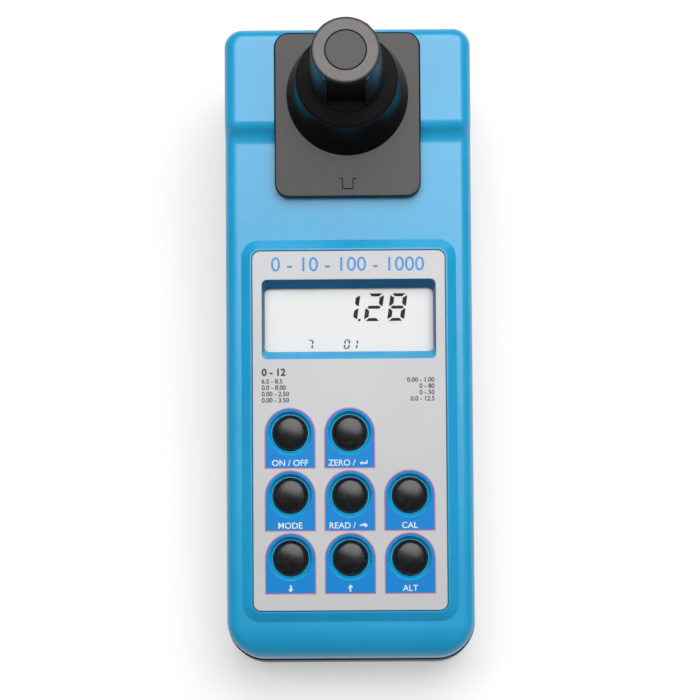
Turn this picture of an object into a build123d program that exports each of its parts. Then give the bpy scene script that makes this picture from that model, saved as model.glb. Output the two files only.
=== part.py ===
from build123d import *
import math
import os

# Handheld turbidity meter, lying on its flat back. Millimetres, +Z up, head end at +Y.
# The front face slopes down towards the tail. Shapes of the face are drawn in a face frame:
# x across, s along the face towards the head, n out of the face, with n = 0 on the panel rim.

# Overall form
FACE_SLOPE = 8.0
SEAM_RISE = 1.82
SIDE_ROOM = 9.15
HEAD_MARGIN = 20.2
TAIL_MARGIN = 17.1
HEAD_CORNER_R = 6.0
TAIL_CORNER_R = 12.5
PARTING_N = -16.0
DECK_N = -1.6
HEAD_DECK_N = 1.6
WALL = 2.2
EDGE_R = 4.2
RISER_OFFSET = 10.9
RISER_RUN = 3.6
RISER_TOP_R = 4.3
RISER_BLEND_R = 5.8
TAIL_ARC_R = 13.0
TAIL_ARC_LENGTH = 11.4

# Lower shell
LIP = 0.5
LOWER_WALL = 2.4
FLOOR_THICKNESS = 2.4
FOOT_HEIGHT = 1.2
BOTTOM_EDGE_R = 3.0

# Raised panel bezel and printed sheet
PANEL_SIDE_MARGIN = 3.3
PANEL_HEAD_MARGIN = 9.75
PANEL_TAIL_MARGIN = 17.4
PANEL_CORNER_R = 2.8
PANEL_GAP = 0.12
PANEL_RECESS = 0.1
OVERLAY_THICKNESS = 0.4
RIM_WIDTH = 0.45
BEZEL_RUN = 3.0
BEZEL_CORNER_R = 6.0

# Display
DISPLAY_CENTRE_S = 10.4
VIEW_WIDTH = 56.8
VIEW_HEIGHT = 21.4
VIEW_CORNER_R = 1.9
FUNNEL_SIDE_RUN = 0.7
FUNNEL_END_RUN = 2.65
FUNNEL_CORNER_R = 1.7
FUNNEL_DEPTH = 4.0
WINDOW_THICKNESS = 1.0
WINDOW_MARGIN = 1.6
FIT_GAP = 0.15
LCD_THICKNESS = 2.5
LCD_MARGIN = 2.6
STRIP_WIDTH = 2.4
FRAME_WALL = 1.6

# Keys
KEY_COLUMN_PITCH = 19.85
KEY_ROW_PITCH = 20.8
KEYS_BELOW_DISPLAY = 38.0
KEY_R = 5.7
KEY_GAP = 0.3
KEY_TOP_N = 1.1
KEY_EDGE_R = 1.5
KEY_DOME_RISE = 0.9
KEY_TRAVEL = 1.2
KEY_FLANGE_R = 7.0
KEY_FLANGE_THICKNESS = 0.8
KEY_PILL_R = 2.6
WELL_TOP_R = 7.3
WELL_CONE_DEPTH = 1.9
SEAT_GAP = 0.2
SKIRT_WALL = 1.8
MAT_THICKNESS = 1.0
MAT_MARGIN = 8.6

# Main board
BOARD_THICKNESS = 1.6
BOARD_DEPTH = 9.0
BOARD_EDGE = 0.5
BOARD_TAIL_MARGIN = 16.8
BOARD_SCREW_INSET = 4.25
BOARD_SCREW_END = 4.0
BOARD_SCREW_GAP = 1.25
BOARD_NOTCH_GAP = 0.5
BOARD_BOSS_R = 2.8
BOARD_SCREW_R = 1.1
BOARD_HEAD_R = 2.2
BOARD_HEAD_HEIGHT = 1.4
BOARD_SCREW_BITE = 4.5

# Cell, plate and cap, on a vertical axis through the head
CELL_AXIS_S = 86.2
PLATE_SIDE_MARGIN = 4.0
PLATE_END_GAP = 0.1
PLATE_APRON = 35.1
PLATE_CORNER_R = 4.7
PLATE_PROUD = 1.0
PLATE_EDGE_R = 0.4
COLLAR_RIM_RISE = 13.9
COLLAR_RIM_R = 16.7
COLLAR_BASE_R = 20.35
COLLAR_EDGE_R = 0.5
COLLAR_GAP = 0.15
HOLDER_R = 16.2
CAP_SEAT_GAP = 0.5
HOLDER_FLOOR_THICKNESS = 2.5
VIAL_R = 12.5
VIAL_WALL = 1.5
VIAL_BODY_HEIGHT = 50.0
VIAL_SHOULDER = 3.0
VIAL_NECK_R = 10.0
VIAL_NECK_HEIGHT = 8.0
VIAL_BASE_Z = 12.0
WELL_GAP = 0.3
LINER_THICKNESS = 1.0
CAP_SKIRT_WALL = 3.2
CAP_SHOULDER_R = 16.2
CAP_SHOULDER_EDGE = 0.5
CAP_SHOULDER_RISE = 3.0
KNOB_BASE_R = 12.6
KNOB_TOP_R = 11.0
KNOB_HEIGHT = 25.4
KNOB_EDGE_R = 0.5
KNOB_BORE_R = 7.8
KNOB_ROOF = 4.0
FLAT_WIDTH = 12.0
FLAT_DISTANCE = 9.2
FLAT_RIM = 1.6
FLAT_DRAFT = 14.0
FLAT_CORNER_R = 0.8
RIB_WIDTH = 0.9
RIB_PROUD = 0.45
TOP_RING_R = 6.3
TOP_RING_WIDTH = 0.5
TOP_RING_DEPTH = 0.3
ARROW_INSET = 6.2
ARROW_LENGTH = 6.8
ARROW_SHAFT_WIDTH = 3.2
ARROW_HEAD_WIDTH = 5.6
ARROW_HEAD_LENGTH = 3.4
ARROW_RISE = 0.4

# Optics
BEAM_HEIGHT = 18.0
BEAM_R = 2.0
LAMP_R = 2.5
LAMP_LENGTH = 5.0
LENS_R = 3.0
LENS_THICKNESS = 1.6
DETECTOR_SIDE = 5.0
DETECTOR_THICKNESS = 2.0
OPTIC_PAD = 5.0
OPTIC_PAD_WIDTH = 14.0
OPTIC_PAD_HEIGHT = 16.0
OPTIC_BOARD_THICKNESS = 1.2

# Battery bay
CELL_R = 7.1
CELL_LENGTH = 50.5
CELL_PITCH = 15.2
CELL_NUB_R = 2.7
CELL_NUB_LENGTH = 1.5
CELL_COUNT = 4
CELL_FLOOR_GAP = 0.7
CONTACT_SPACE = 3.0
CONTACT_THICKNESS = 0.4
CONTACT_SIDE = 9.0
LEAF_WIDTH = 4.5
LEAF_BEND_R = 0.6
BAY_GAP = 0.4
BAY_WALL = 1.4
BAY_WALL_HEIGHT = 12.0
DOOR_TONGUE = 1.6
DOOR_GAP = 0.2
DOOR_GRIP_COUNT = 5
DOOR_GRIP_PITCH = 2.6
DOOR_GRIP_DEPTH = 0.5
DOOR_GRIP_WIDTH = 22.0

# Fasteners, feet, seal and socket
TAIL_SCREW_INSETS = (5.35, 32.5)
HEAD_SCREW_INSETS = (7.35, 20.5)
CASE_BOSS_R = 3.2
CASE_SCREW_R = 1.5
CASE_HEAD_R = 2.4
CASE_HEAD_HEIGHT = 2.0
CASE_SCREW_GRIP = 4.0
CASE_SCREW_BITE = 7.0
PILOT_GAP = 0.1
FOOT_R = 3.4
FOOT_WALL = 0.9
FOOT_END_INSET = 11.5
FOOT_RECESS = 0.8
FOOT_CHAMFER = 0.3
SEAL_INSET = 0.35
SEAL_WIDTH = 1.0
SEAL_DEPTH = 1.0
JACK_X = -24.0
JACK_Z = 22.0
JACK_NOSE_R = 4.0
JACK_BODY_WIDTH = 9.0
JACK_BODY_LENGTH = 12.0
JACK_BORE_R = 2.8
JACK_PIN_R = 1.0
RIBBON_WIDTH = 10.0
RIBBON_THICKNESS = 0.5
RIBBON_BEND_R = 3.0
CHIP_HEIGHT = 1.6

KEY_PLACES = {
    "key_power": (-1, 0),
    "key_zero": (0, 0),
    "key_mode": (-1, 1),
    "key_read": (0, 1),
    "key_cal": (1, 1),
    "key_down": (-1, 2),
    "key_up": (0, 2),
    "key_alt": (1, 2),
}

# Chips on the back of the board: x, distance below the display's centre, width, length
CHIPS = (
    (-12.0, 30.4, 14.0, 14.0),
    (14.0, 28.4, 9.0, 12.0),
    (0.0, 60.4, 12.0, 8.0),
    (18.0, 72.4, 6.0, 6.0),
    (-18.0, -1.6, 8.0, 6.0),
)

# Battery bay, from which the housing takes its width
BAY_HALF = CELL_COUNT * CELL_PITCH / 2
DOOR_HALF = BAY_HALF + SEAT_GAP
SLOT_HALF = DOOR_HALF + DOOR_TONGUE
SHELL_HALF_WIDTH = SLOT_HALF + SIDE_ROOM

# Display and keys, from which the panel and the tail end take their places
MOUTH_WIDTH = VIEW_WIDTH + 2 * FUNNEL_SIDE_RUN
MOUTH_HEIGHT = VIEW_HEIGHT + 2 * FUNNEL_END_RUN
KEY_FIRST_ROW_S = DISPLAY_CENTRE_S - KEYS_BELOW_DISPLAY
KEY_LAST_ROW_S = KEY_FIRST_ROW_S - KEY_ROW_PITCH * max(row for _, row in KEY_PLACES.values())
PANEL_HALF_WIDTH = MOUTH_WIDTH / 2 + PANEL_SIDE_MARGIN
PANEL_HEAD_S = DISPLAY_CENTRE_S + MOUTH_HEIGHT / 2 + PANEL_HEAD_MARGIN
PANEL_TAIL_S = KEY_LAST_ROW_S - PANEL_TAIL_MARGIN
TAIL_END_S = PANEL_TAIL_S - TAIL_MARGIN

# Display carrier, and the board that it stands on
FRAME_GROW = LCD_MARGIN + FIT_GAP + FRAME_WALL
FRAME_HEAD_S = DISPLAY_CENTRE_S + VIEW_HEIGHT / 2 + FRAME_GROW
BOARD_HALF_WIDTH = VIEW_WIDTH / 2 + FRAME_GROW + BOARD_EDGE
BOARD_TAIL_S = KEY_LAST_ROW_S - BOARD_TAIL_MARGIN
BOARD_SCREW_X = BOARD_HALF_WIDTH - BOARD_SCREW_INSET
BOARD_SCREW_S = (BOARD_TAIL_S + BOARD_SCREW_END, FRAME_HEAD_S + BOARD_SCREW_GAP + BOARD_BOSS_R)
BOARD_HEAD_S = BOARD_SCREW_S[1] + BOARD_SCREW_END

# Head, set out from the axis of the cell
HEAD_END_S = CELL_AXIS_S + HEAD_MARGIN
RISER_TOP_S = CELL_AXIS_S - RISER_OFFSET
PLATE_HALF_WIDTH = COLLAR_BASE_R + PLATE_SIDE_MARGIN
PLATE_HEAD_S = HEAD_END_S - PLATE_END_GAP
PLATE_TAIL_S = CELL_AXIS_S - PLATE_APRON

# Heights above the surface that the meter lies on
BASE_Z = FOOT_HEIGHT
LEDGE_Z = BASE_Z + FLOOR_THICKNESS / 2
FLOOR_Z = BASE_Z + FLOOR_THICKNESS
BATTERY_Z = FLOOR_Z + CELL_FLOOR_GAP + CELL_R
HOLDER_BASE_Z = VIAL_BASE_Z - HOLDER_FLOOR_THICKNESS
BEAM_Z = VIAL_BASE_Z + BEAM_HEIGHT
SHOULDER_Z = VIAL_BASE_Z + VIAL_BODY_HEIGHT
NECK_Z = SHOULDER_Z + VIAL_SHOULDER
VIAL_TOP_Z = NECK_Z + VIAL_NECK_HEIGHT

# Frame of the sloping face. At the tail its seam clears the battery contacts by the seam rise,
# and the housing is centred over the origin.
SLOPE = math.radians(FACE_SLOPE)
SEAM_Z = BATTERY_Z + CONTACT_SIDE / 2 + SEAM_RISE
FACE_HEIGHT = SEAM_Z - TAIL_END_S * math.sin(SLOPE) - PARTING_N * math.cos(SLOPE)
MID_S = (HEAD_END_S + TAIL_END_S) / 2
FACE_Y = PARTING_N * math.sin(SLOPE) - MID_S * math.cos(SLOPE)
FACE = Plane(
    origin=(0, FACE_Y, FACE_HEIGHT),
    x_dir=(1, 0, 0),
    z_dir=(0, -math.sin(SLOPE), math.cos(SLOPE)),
)
FAR = 2 * (HEAD_END_S - TAIL_END_S)
LEAST_TOP_NORMAL = math.cos(math.radians(60))
END_Y = ((HEAD_END_S - TAIL_END_S) / 2 + LIP) * math.cos(SLOPE)
UPRIGHT = Vector(0, math.sin(SLOPE), math.cos(SLOPE))

# Levels along the face normal
PLATE_TOP_N = HEAD_DECK_N + PLATE_PROUD
CEILING_N = DECK_N - WALL
OVERLAY_TOP_N = -PANEL_RECESS
POCKET_N = OVERLAY_TOP_N - OVERLAY_THICKNESS
WINDOW_TOP_N = -FUNNEL_DEPTH
WINDOW_BACK_N = WINDOW_TOP_N - WINDOW_THICKNESS
LCD_BACK_N = WINDOW_BACK_N - LCD_THICKNESS
BOARD_TOP_N = -BOARD_DEPTH
BOARD_BACK_N = BOARD_TOP_N - BOARD_THICKNESS
FLANGE_TOP_N = CEILING_N - SEAT_GAP
FLANGE_BACK_N = FLANGE_TOP_N - KEY_FLANGE_THICKNESS
PILL_END_N = BOARD_TOP_N + KEY_TRAVEL + SEAT_GAP
SKIRT_TOP_N = FLANGE_BACK_N - KEY_TRAVEL - SEAT_GAP

# Battery bay along the meter, and the feet
BAY_TAIL_Y = LOWER_WALL - END_Y
BAY_HEAD_Y = BAY_TAIL_Y + CONTACT_SPACE + CELL_LENGTH + CONTACT_THICKNESS
FOOT_X = DOOR_HALF + FOOT_WALL + FOOT_R
FOOT_Y = END_Y - FOOT_END_INSET


def on_face(x, s, n):
    """World point of a place in the face frame."""
    return FACE.from_local_coords(Vector(x, s, n))


def face_height(y, n):
    """World height, at world y, of the plane at level n of the face frame."""
    along = (y - FACE_Y + n * math.sin(SLOPE)) / math.cos(SLOPE)
    return FACE_HEIGHT + along * math.sin(SLOPE) + n * math.cos(SLOPE)


CELL_Y = on_face(0, CELL_AXIS_S, PLATE_TOP_N).Y
PLATE_Z = on_face(0, CELL_AXIS_S, PLATE_TOP_N).Z
RIM_Z = PLATE_Z + COLLAR_RIM_RISE
OPTIC_FACE = HOLDER_R + OPTIC_PAD


def turned(points):
    """Solid of revolution about Z from points (radius, height)."""
    return revolve(Plane.XZ * make_face(Polyline(*points, close=True)), Axis.Z)


def upright(x, y, radius, low, high):
    """Vertical round post in the world frame."""
    return Pos(x, y, (low + high) / 2) * Cylinder(radius, high - low)


def face_post(x, s, radius, low, high):
    """Round post along the face normal, in the face frame."""
    return Pos(x, s, (low + high) / 2) * Cylinder(radius, high - low)


def rounded_plan(half_width, tail_s, head_s, tail_r, head_r, level):
    """Rectangle in the face frame with one radius at its tail corners and one at its head."""
    plan = Pos(0, (tail_s + head_s) / 2) * Rectangle(2 * half_width, head_s - tail_s)
    plan = fillet(plan.vertices().group_by(Axis.Y)[0], tail_r)
    plan = fillet(plan.vertices().group_by(Axis.Y)[-1], head_r)
    return Pos(0, 0, level) * plan


def shell_plan(inset, level):
    """Outline of the housing, moved inwards by the inset."""
    half = SHELL_HALF_WIDTH - inset
    tail_r = TAIL_CORNER_R - inset
    head_r = HEAD_CORNER_R - inset
    return rounded_plan(half, TAIL_END_S + inset, HEAD_END_S - inset, tail_r, head_r, level)


def panel_plan(grow, corner_r, level):
    """Outline of the printed panel, grown outwards."""
    half = PANEL_HALF_WIDTH + grow
    tail_s = PANEL_TAIL_S - grow
    return rounded_plan(half, tail_s, PANEL_HEAD_S + grow, corner_r, corner_r, level)


def plate_plan(grow, level):
    """Outline of the plate round the cell, grown outwards."""
    half = PLATE_HALF_WIDTH + grow
    corner_r = PLATE_CORNER_R + grow
    head_s = PLATE_HEAD_S + grow
    return rounded_plan(half, PLATE_TAIL_S - grow, head_s, corner_r, corner_r, level)


def raised(plan, high_n):
    """Walls straight up, in the world, from the parting plane to a level of the face frame."""
    return extrude(plan, (high_n - PARTING_N) / math.cos(SLOPE), dir=UPRIGHT)


def side_prism():
    """Side view of the deck, riser and head deck, drawn right across the housing."""
    foot_s = RISER_TOP_S - RISER_RUN
    low_n = PARTING_N - WALL
    head = [(FAR, low_n), (FAR, HEAD_DECK_N), (RISER_TOP_S, HEAD_DECK_N)]
    outline = make_face(Polyline(*head, (foot_s, DECK_N), (-FAR, DECK_N), (-FAR, low_n), close=True))
    outline = fillet(outline.vertices().sort_by_distance((RISER_TOP_S, HEAD_DECK_N))[0], RISER_TOP_R)
    outline = fillet(outline.vertices().sort_by_distance((foot_s, DECK_N))[0], RISER_BLEND_R)
    return extrude(Plane.YZ * outline, FAR / 2, both=True)


def tail_waste(radius):
    """What the long arc takes off where the deck falls away to the tail."""
    arc_s = TAIL_END_S + TAIL_ARC_LENGTH
    arc_n = DECK_N - TAIL_ARC_R
    block = Pos(0, arc_s - FAR / 2, arc_n + FAR / 2) * Box(FAR, FAR, FAR)
    return block - Pos(0, arc_s, arc_n) * Rot(0, 90, 0) * Cylinder(radius, FAR)


def outer_edges(faces):
    """Edges round a group of faces, without the edges that two of them share."""
    found = []
    for edge in (edge for face in faces for edge in face.edges()):
        twins = [other for other in found if other.is_same(edge)]
        if twins:
            found.remove(twins[0])
        else:
            found.append(edge)
    return ShapeList(found)


def housing_block():
    """Solid form of the upper housing, with its raised head, rounded tail and soft edge."""
    block = raised(shell_plan(0, PARTING_N), HEAD_DECK_N + WALL) & side_prism()
    block -= tail_waste(TAIL_ARC_R)
    tops = [face for face in block.faces() if face.normal_at().Z > LEAST_TOP_NORMAL]
    return fillet(outer_edges(tops), EDGE_R)


def bezel_block():
    """Raised plateau round the panel, with sloping sides."""
    rim = RIM_WIDTH + PANEL_GAP
    top = panel_plan(rim, PANEL_CORNER_R + rim, 0)
    foot = panel_plan(rim + BEZEL_RUN, BEZEL_CORNER_R, DECK_N)
    return loft([foot, top])


def housing_cavity():
    """Hollow under the deck."""
    inner = raised(shell_plan(WALL, PARTING_N), CEILING_N)
    return inner - tail_waste(TAIL_ARC_R - WALL)


def display_plan(grow, level):
    """Outline of the visible display, grown outwards, in the face frame."""
    width = VIEW_WIDTH + 2 * grow
    height = VIEW_HEIGHT + 2 * grow
    return Pos(0, DISPLAY_CENTRE_S, level) * RectangleRounded(width, height, VIEW_CORNER_R)


def display_layer(grow, low, high):
    """Block with the display's outline, between two levels."""
    return extrude(display_plan(grow, low), high - low)


def display_mouth(level):
    """Outline of the display recess at the panel's surface."""
    mouth = RectangleRounded(MOUTH_WIDTH, MOUTH_HEIGHT, FUNNEL_CORNER_R)
    return Pos(0, DISPLAY_CENTRE_S, level) * mouth


def display_funnel():
    """Recess with sloping walls from the panel down to the clear window."""
    return loft([display_plan(0, WINDOW_TOP_N), display_mouth(0)])


def key_spot(name):
    """Centre of a key on the panel, in the face frame."""
    column, row = KEY_PLACES[name]
    return column * KEY_COLUMN_PITCH, KEY_FIRST_ROW_S - row * KEY_ROW_PITCH


def key_well():
    """Countersunk well and the hole that a key stands in."""
    hole_r = KEY_R + KEY_GAP
    cone_n = POCKET_N - WELL_CONE_DEPTH
    top = [(0, 0), (WELL_TOP_R, 0), (WELL_TOP_R, POCKET_N), (hole_r + KEY_GAP, cone_n)]
    return turned(top + [(hole_r, cone_n), (hole_r, CEILING_N - WALL), (0, CEILING_N - WALL)])


def board_screw_places():
    """Face-frame places of the screws that hold the board."""
    return [(side * BOARD_SCREW_X, s) for s in BOARD_SCREW_S for side in (-1, 1)]


def case_screw_places():
    """World places of the case screws, a pair at the tail and a pair at the head."""
    tail_side, tail_end = TAIL_SCREW_INSETS
    head_side, head_end = HEAD_SCREW_INSETS
    pairs = [(SHELL_HALF_WIDTH - tail_side, tail_end - END_Y)]
    pairs.append((SHELL_HALF_WIDTH - head_side, END_Y - head_end))
    return [(side * x, y) for x, y in pairs for side in (-1, 1)]


def split_height(y):
    """Height where a lower post meets an upper boss."""
    return face_height(y, PARTING_N) - SEAL_DEPTH


def top_shell():
    """Upper housing with its recesses, wells and bosses."""
    shell = housing_block() + bezel_block() - housing_cavity()
    shell += display_layer(WINDOW_MARGIN + FRAME_WALL, WINDOW_BACK_N, CEILING_N)
    shell -= extrude(panel_plan(PANEL_GAP, PANEL_CORNER_R + PANEL_GAP, POCKET_N), WALL)
    shell -= display_funnel()
    shell -= display_layer(WINDOW_MARGIN + FIT_GAP, WINDOW_BACK_N, WINDOW_TOP_N)
    for name in KEY_PLACES:
        x, s = key_spot(name)
        shell -= Pos(x, s) * key_well()
    for x, s in board_screw_places():
        shell += face_post(x, s, BOARD_BOSS_R, BOARD_TOP_N, CEILING_N)
        shell -= face_post(x, s, BOARD_SCREW_R - PILOT_GAP, BOARD_TOP_N, CEILING_N)
    shell -= extrude(plate_plan(COLLAR_GAP, DECK_N), FAR / 4)
    shell = FACE * shell
    for x, y in case_screw_places():
        low = split_height(y)
        shell += upright(x, y, CASE_BOSS_R, low, face_height(y, CEILING_N) + CASE_SCREW_R / 2)
        shell -= upright(x, y, CASE_SCREW_R - PILOT_GAP, low, low + CASE_SCREW_BITE)
    return shell - upright(0, CELL_Y, HOLDER_R + CAP_SEAT_GAP, HOLDER_BASE_Z, RIM_Z)


def rim_ring(inner, outer, low_n, high_n):
    """Band that follows the rim of the housing, between two insets."""
    ring = shell_plan(outer, low_n) - shell_plan(inner, low_n)
    return FACE * extrude(ring, high_n - low_n)


def above(level, height=FAR):
    """Everything over a level, as one block."""
    return Pos(0, 0, level + height / 2) * Box(FAR, FAR, height)


def lower_form():
    """Outer form of the lower shell, from the parting plane straight down."""
    block = extrude(FACE * shell_plan(-LIP, PARTING_N), FACE_HEIGHT * 2, dir=(0, 0, -1))
    block &= above(BASE_Z)
    return fillet(block.faces().sort_by(Axis.Z)[0].edges(), BOTTOM_EDGE_R)


def lower_cavity():
    """Hollow of the lower shell above its floor."""
    plan = FACE * shell_plan(LOWER_WALL - LIP, PARTING_N)
    return extrude(plan, FACE_HEIGHT * 2, dir=(0, 0, -1)) & above(FLOOR_Z)


def span_box(half_width, y_range, z_range):
    """Box across the middle of the meter."""
    depth = y_range[1] - y_range[0]
    height = z_range[1] - z_range[0]
    centre = Pos(0, sum(y_range) / 2, sum(z_range) / 2)
    return centre * Box(2 * half_width, depth, height)


def door_form(gap):
    """Stepped sliding door in its slot, smaller by a gap, past the tail end."""
    y_range = (-END_Y - FAR / 8, BAY_HEAD_Y + DOOR_GAP - gap)
    plate = span_box(DOOR_HALF - gap, y_range, (BASE_Z, FLOOR_Z - gap))
    return plate + span_box(SLOT_HALF - gap, y_range, (LEDGE_Z + gap / 2, FLOOR_Z - gap))


def bay_walls():
    """Walls round the four cells, standing on the floor."""
    z_range = (FLOOR_Z, FLOOR_Z + BAY_WALL_HEIGHT)
    y_range = (BAY_TAIL_Y, BAY_HEAD_Y + BAY_WALL)
    outer = span_box(SLOT_HALF + BAY_WALL, y_range, z_range)
    return outer - span_box(BAY_HALF + BAY_GAP, (BAY_TAIL_Y, BAY_HEAD_Y), z_range)


def foot_places():
    """World places of the four feet."""
    return [(x, y) for x in (-FOOT_X, FOOT_X) for y in (-FOOT_Y, FOOT_Y)]


def bottom_shell():
    """Lower housing with the battery bay, posts, rim groove and socket hole."""
    shell = lower_form() - lower_cavity()
    shell += bay_walls()
    shell += upright(0, CELL_Y, HOLDER_R, FLOOR_Z, HOLDER_BASE_Z - SEAT_GAP)
    shell -= upright(0, CELL_Y, VIAL_R, FLOOR_Z, HOLDER_BASE_Z)
    shell -= door_form(0)
    for x, y in case_screw_places():
        top = split_height(y)
        seat = top - CASE_SCREW_GRIP
        shell += upright(x, y, CASE_BOSS_R, FLOOR_Z, top)
        shell -= upright(x, y, CASE_HEAD_R + DOOR_GAP, 0, seat)
        shell -= upright(x, y, CASE_SCREW_R + PILOT_GAP, seat, top)
    for x, y in foot_places():
        shell -= upright(x, y, FOOT_R + PILOT_GAP, 0, BASE_Z + FOOT_RECESS)
    shell -= rim_ring(SEAL_INSET + SEAL_WIDTH, SEAL_INSET, PARTING_N - SEAL_DEPTH, PARTING_N)
    nose = Rot(90, 0, 0) * Cylinder(JACK_NOSE_R + PILOT_GAP, FAR / 8)
    return shell - Pos(JACK_X, END_Y, JACK_Z) * nose


def case_gasket():
    """Rubber seal in the groove of the rim."""
    return rim_ring(SEAL_INSET + SEAL_WIDTH, SEAL_INSET, PARTING_N - SEAL_DEPTH, PARTING_N)


def case_screws():
    """Four screws up from the underside into the upper housing."""
    screws = []
    for x, y in case_screw_places():
        top = split_height(y)
        seat = top - CASE_SCREW_GRIP
        head = upright(x, y, CASE_HEAD_R, seat - CASE_HEAD_HEIGHT, seat)
        drive = upright(x, y, CASE_HEAD_R / 2, seat - CASE_HEAD_HEIGHT, seat - CASE_HEAD_HEIGHT / 2)
        shank = upright(x, y, CASE_SCREW_R - PILOT_GAP, seat, top + CASE_SCREW_BITE - SEAT_GAP)
        screws.append(head - drive + shank)
    return Compound(screws)


def rubber_feet():
    """Four round feet let into the underside."""
    feet = []
    for x, y in foot_places():
        foot = upright(x, y, FOOT_R, 0, BASE_Z + FOOT_RECESS)
        feet.append(chamfer(foot.edges().sort_by(Axis.Z)[0], FOOT_CHAMFER))
    return Compound(feet)


def battery_door():
    """Sliding door, with grip grooves near the tail end."""
    door = door_form(DOOR_GAP) & lower_form()
    for index in range(DOOR_GRIP_COUNT):
        y = -END_Y + BOTTOM_EDGE_R + (index + 1) * DOOR_GRIP_PITCH
        groove = Rot(0, 90, 0) * Cylinder(DOOR_GRIP_DEPTH, DOOR_GRIP_WIDTH)
        door -= Pos(0, y, BASE_Z) * groove
    return door


def cell_x(index):
    """Place of a battery cell across the bay."""
    return (index - (CELL_COUNT - 1) / 2) * CELL_PITCH


def battery_cell(index):
    """One cell, its positive end turned about from its neighbour's."""
    body_length = CELL_LENGTH - CELL_NUB_LENGTH
    nub = [(CELL_NUB_R, body_length), (CELL_NUB_R, CELL_LENGTH), (0, CELL_LENGTH)]
    cell = turned([(0, 0), (CELL_R, 0), (CELL_R, body_length)] + nub)
    low_y = BAY_TAIL_Y + CONTACT_SPACE
    if index % 2:
        return Pos(cell_x(index), low_y, BATTERY_Z) * Rot(-90, 0, 0) * cell
    return Pos(cell_x(index), low_y + CELL_LENGTH, BATTERY_Z) * Rot(90, 0, 0) * cell


def contact_plates():
    """Flat contacts on the head end of the bay."""
    plate = Box(CONTACT_SIDE, CONTACT_THICKNESS, CONTACT_SIDE)
    y = BAY_HEAD_Y - CONTACT_THICKNESS / 2
    return Compound([Pos(cell_x(i), y, BATTERY_Z) * plate for i in range(CELL_COUNT)])


def contact_leaves():
    """Leaf contacts bent from strip, which press the cells towards the head."""
    half = CONTACT_SIDE / 2
    middle = CONTACT_THICKNESS / 2
    wall_y = BAY_TAIL_Y + middle
    crest_y = BAY_TAIL_Y + CONTACT_SPACE - middle
    low_z = BATTERY_Z - half
    points = [(wall_y, BATTERY_Z + half), (wall_y, low_z), (crest_y, BATTERY_Z)]
    points.append((wall_y + LEAF_BEND_R, BATTERY_Z + half / 2))
    strip = trace(FilletPolyline(*points, radius=LEAF_BEND_R), CONTACT_THICKNESS)
    leaf = extrude(Plane.YZ * strip, LEAF_WIDTH / 2, both=True)
    return Compound([Pos(cell_x(i), 0, 0) * leaf for i in range(CELL_COUNT)])


def holder_plate():
    """Plate round the cell, with a raised block arrow."""
    plate = extrude(plate_plan(0, DECK_N), PLATE_TOP_N - DECK_N)
    plate = chamfer(plate.faces().sort_by(Axis.Z)[-1].edges(), PLATE_EDGE_R)
    shaft = ARROW_SHAFT_WIDTH / 2
    barb = ARROW_HEAD_WIDTH / 2
    low = PLATE_TAIL_S + ARROW_INSET - ARROW_LENGTH / 2
    tip = low + ARROW_LENGTH
    neck = tip - ARROW_HEAD_LENGTH
    right = [(shaft, low), (shaft, neck), (barb, neck), (0, tip)]
    left = [(-barb, neck), (-shaft, neck), (-shaft, low)]
    arrow = make_face(Polyline(*(right + left), close=True))
    plate += extrude(Pos(0, 0, PLATE_TOP_N) * arrow, ARROW_RISE)
    return FACE * plate - upright(0, CELL_Y, HOLDER_R + COLLAR_GAP, HOLDER_BASE_Z, RIM_Z)


def collar():
    """Tapered collar that stands on the sloping plate."""
    slope = (COLLAR_BASE_R - COLLAR_RIM_R) / COLLAR_RIM_RISE
    depth = COLLAR_RIM_RISE + COLLAR_BASE_R * math.tan(SLOPE) + WALL
    low_r = COLLAR_RIM_R + slope * depth
    cone = Pos(0, CELL_Y, RIM_Z - depth / 2) * Cone(low_r, COLLAR_RIM_R, depth)
    cone = fillet(cone.edges().sort_by(Axis.Z)[-1], COLLAR_EDGE_R)
    over_plate = FACE * (Pos(0, 0, PLATE_TOP_N + FAR / 2) * Box(FAR, FAR, FAR))
    return cone & over_plate


def ports():
    """The three light ports: name, turn about the cell axis."""
    return (("lamp", 180.0), ("straight", 0.0), ("scatter", 270.0))


def at_port(turn, shape):
    """Place a shape made along +X from the cell axis at beam height."""
    return Pos(0, CELL_Y, BEAM_Z) * Rot(0, 0, turn) * shape


def along_port(radius, near, far):
    """Round bar along a port, between two distances from the cell axis."""
    return Pos((near + far) / 2, 0, 0) * Rot(0, 90, 0) * Cylinder(radius, far - near)


def port_box(near, far, width, height):
    """Block along a port, between two distances from the cell axis."""
    return Pos((near + far) / 2, 0, 0) * Box(far - near, width, height)


def cell_holder():
    """Well for the cuvette, with its collar, optic pads and light ports."""
    bore_r = VIAL_R + WELL_GAP
    holder = upright(0, CELL_Y, HOLDER_R, HOLDER_BASE_Z, RIM_Z - COLLAR_EDGE_R) + collar()
    for _, turn in ports():
        pad = port_box(bore_r, OPTIC_FACE, OPTIC_PAD_WIDTH, OPTIC_PAD_HEIGHT)
        holder += at_port(turn, pad)
    holder -= upright(0, CELL_Y, bore_r, VIAL_BASE_Z, RIM_Z)
    holder -= upright(0, CELL_Y, skirt_r() + CAP_SEAT_GAP, SHOULDER_Z, RIM_Z)
    for name, turn in ports():
        holder -= at_port(turn, along_port(BEAM_R, 0, OPTIC_FACE))
        if name == "lamp":
            holder -= at_port(turn, along_port(LENS_R + PILOT_GAP, lens_near(), OPTIC_FACE))
        else:
            side = DETECTOR_SIDE + 2 * PILOT_GAP
            holder -= at_port(turn, port_box(OPTIC_FACE - DETECTOR_THICKNESS, OPTIC_FACE, side, side))
    return holder


def lens_near():
    """Distance of the lens from the cell axis."""
    return OPTIC_FACE - LAMP_LENGTH - LENS_THICKNESS


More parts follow.
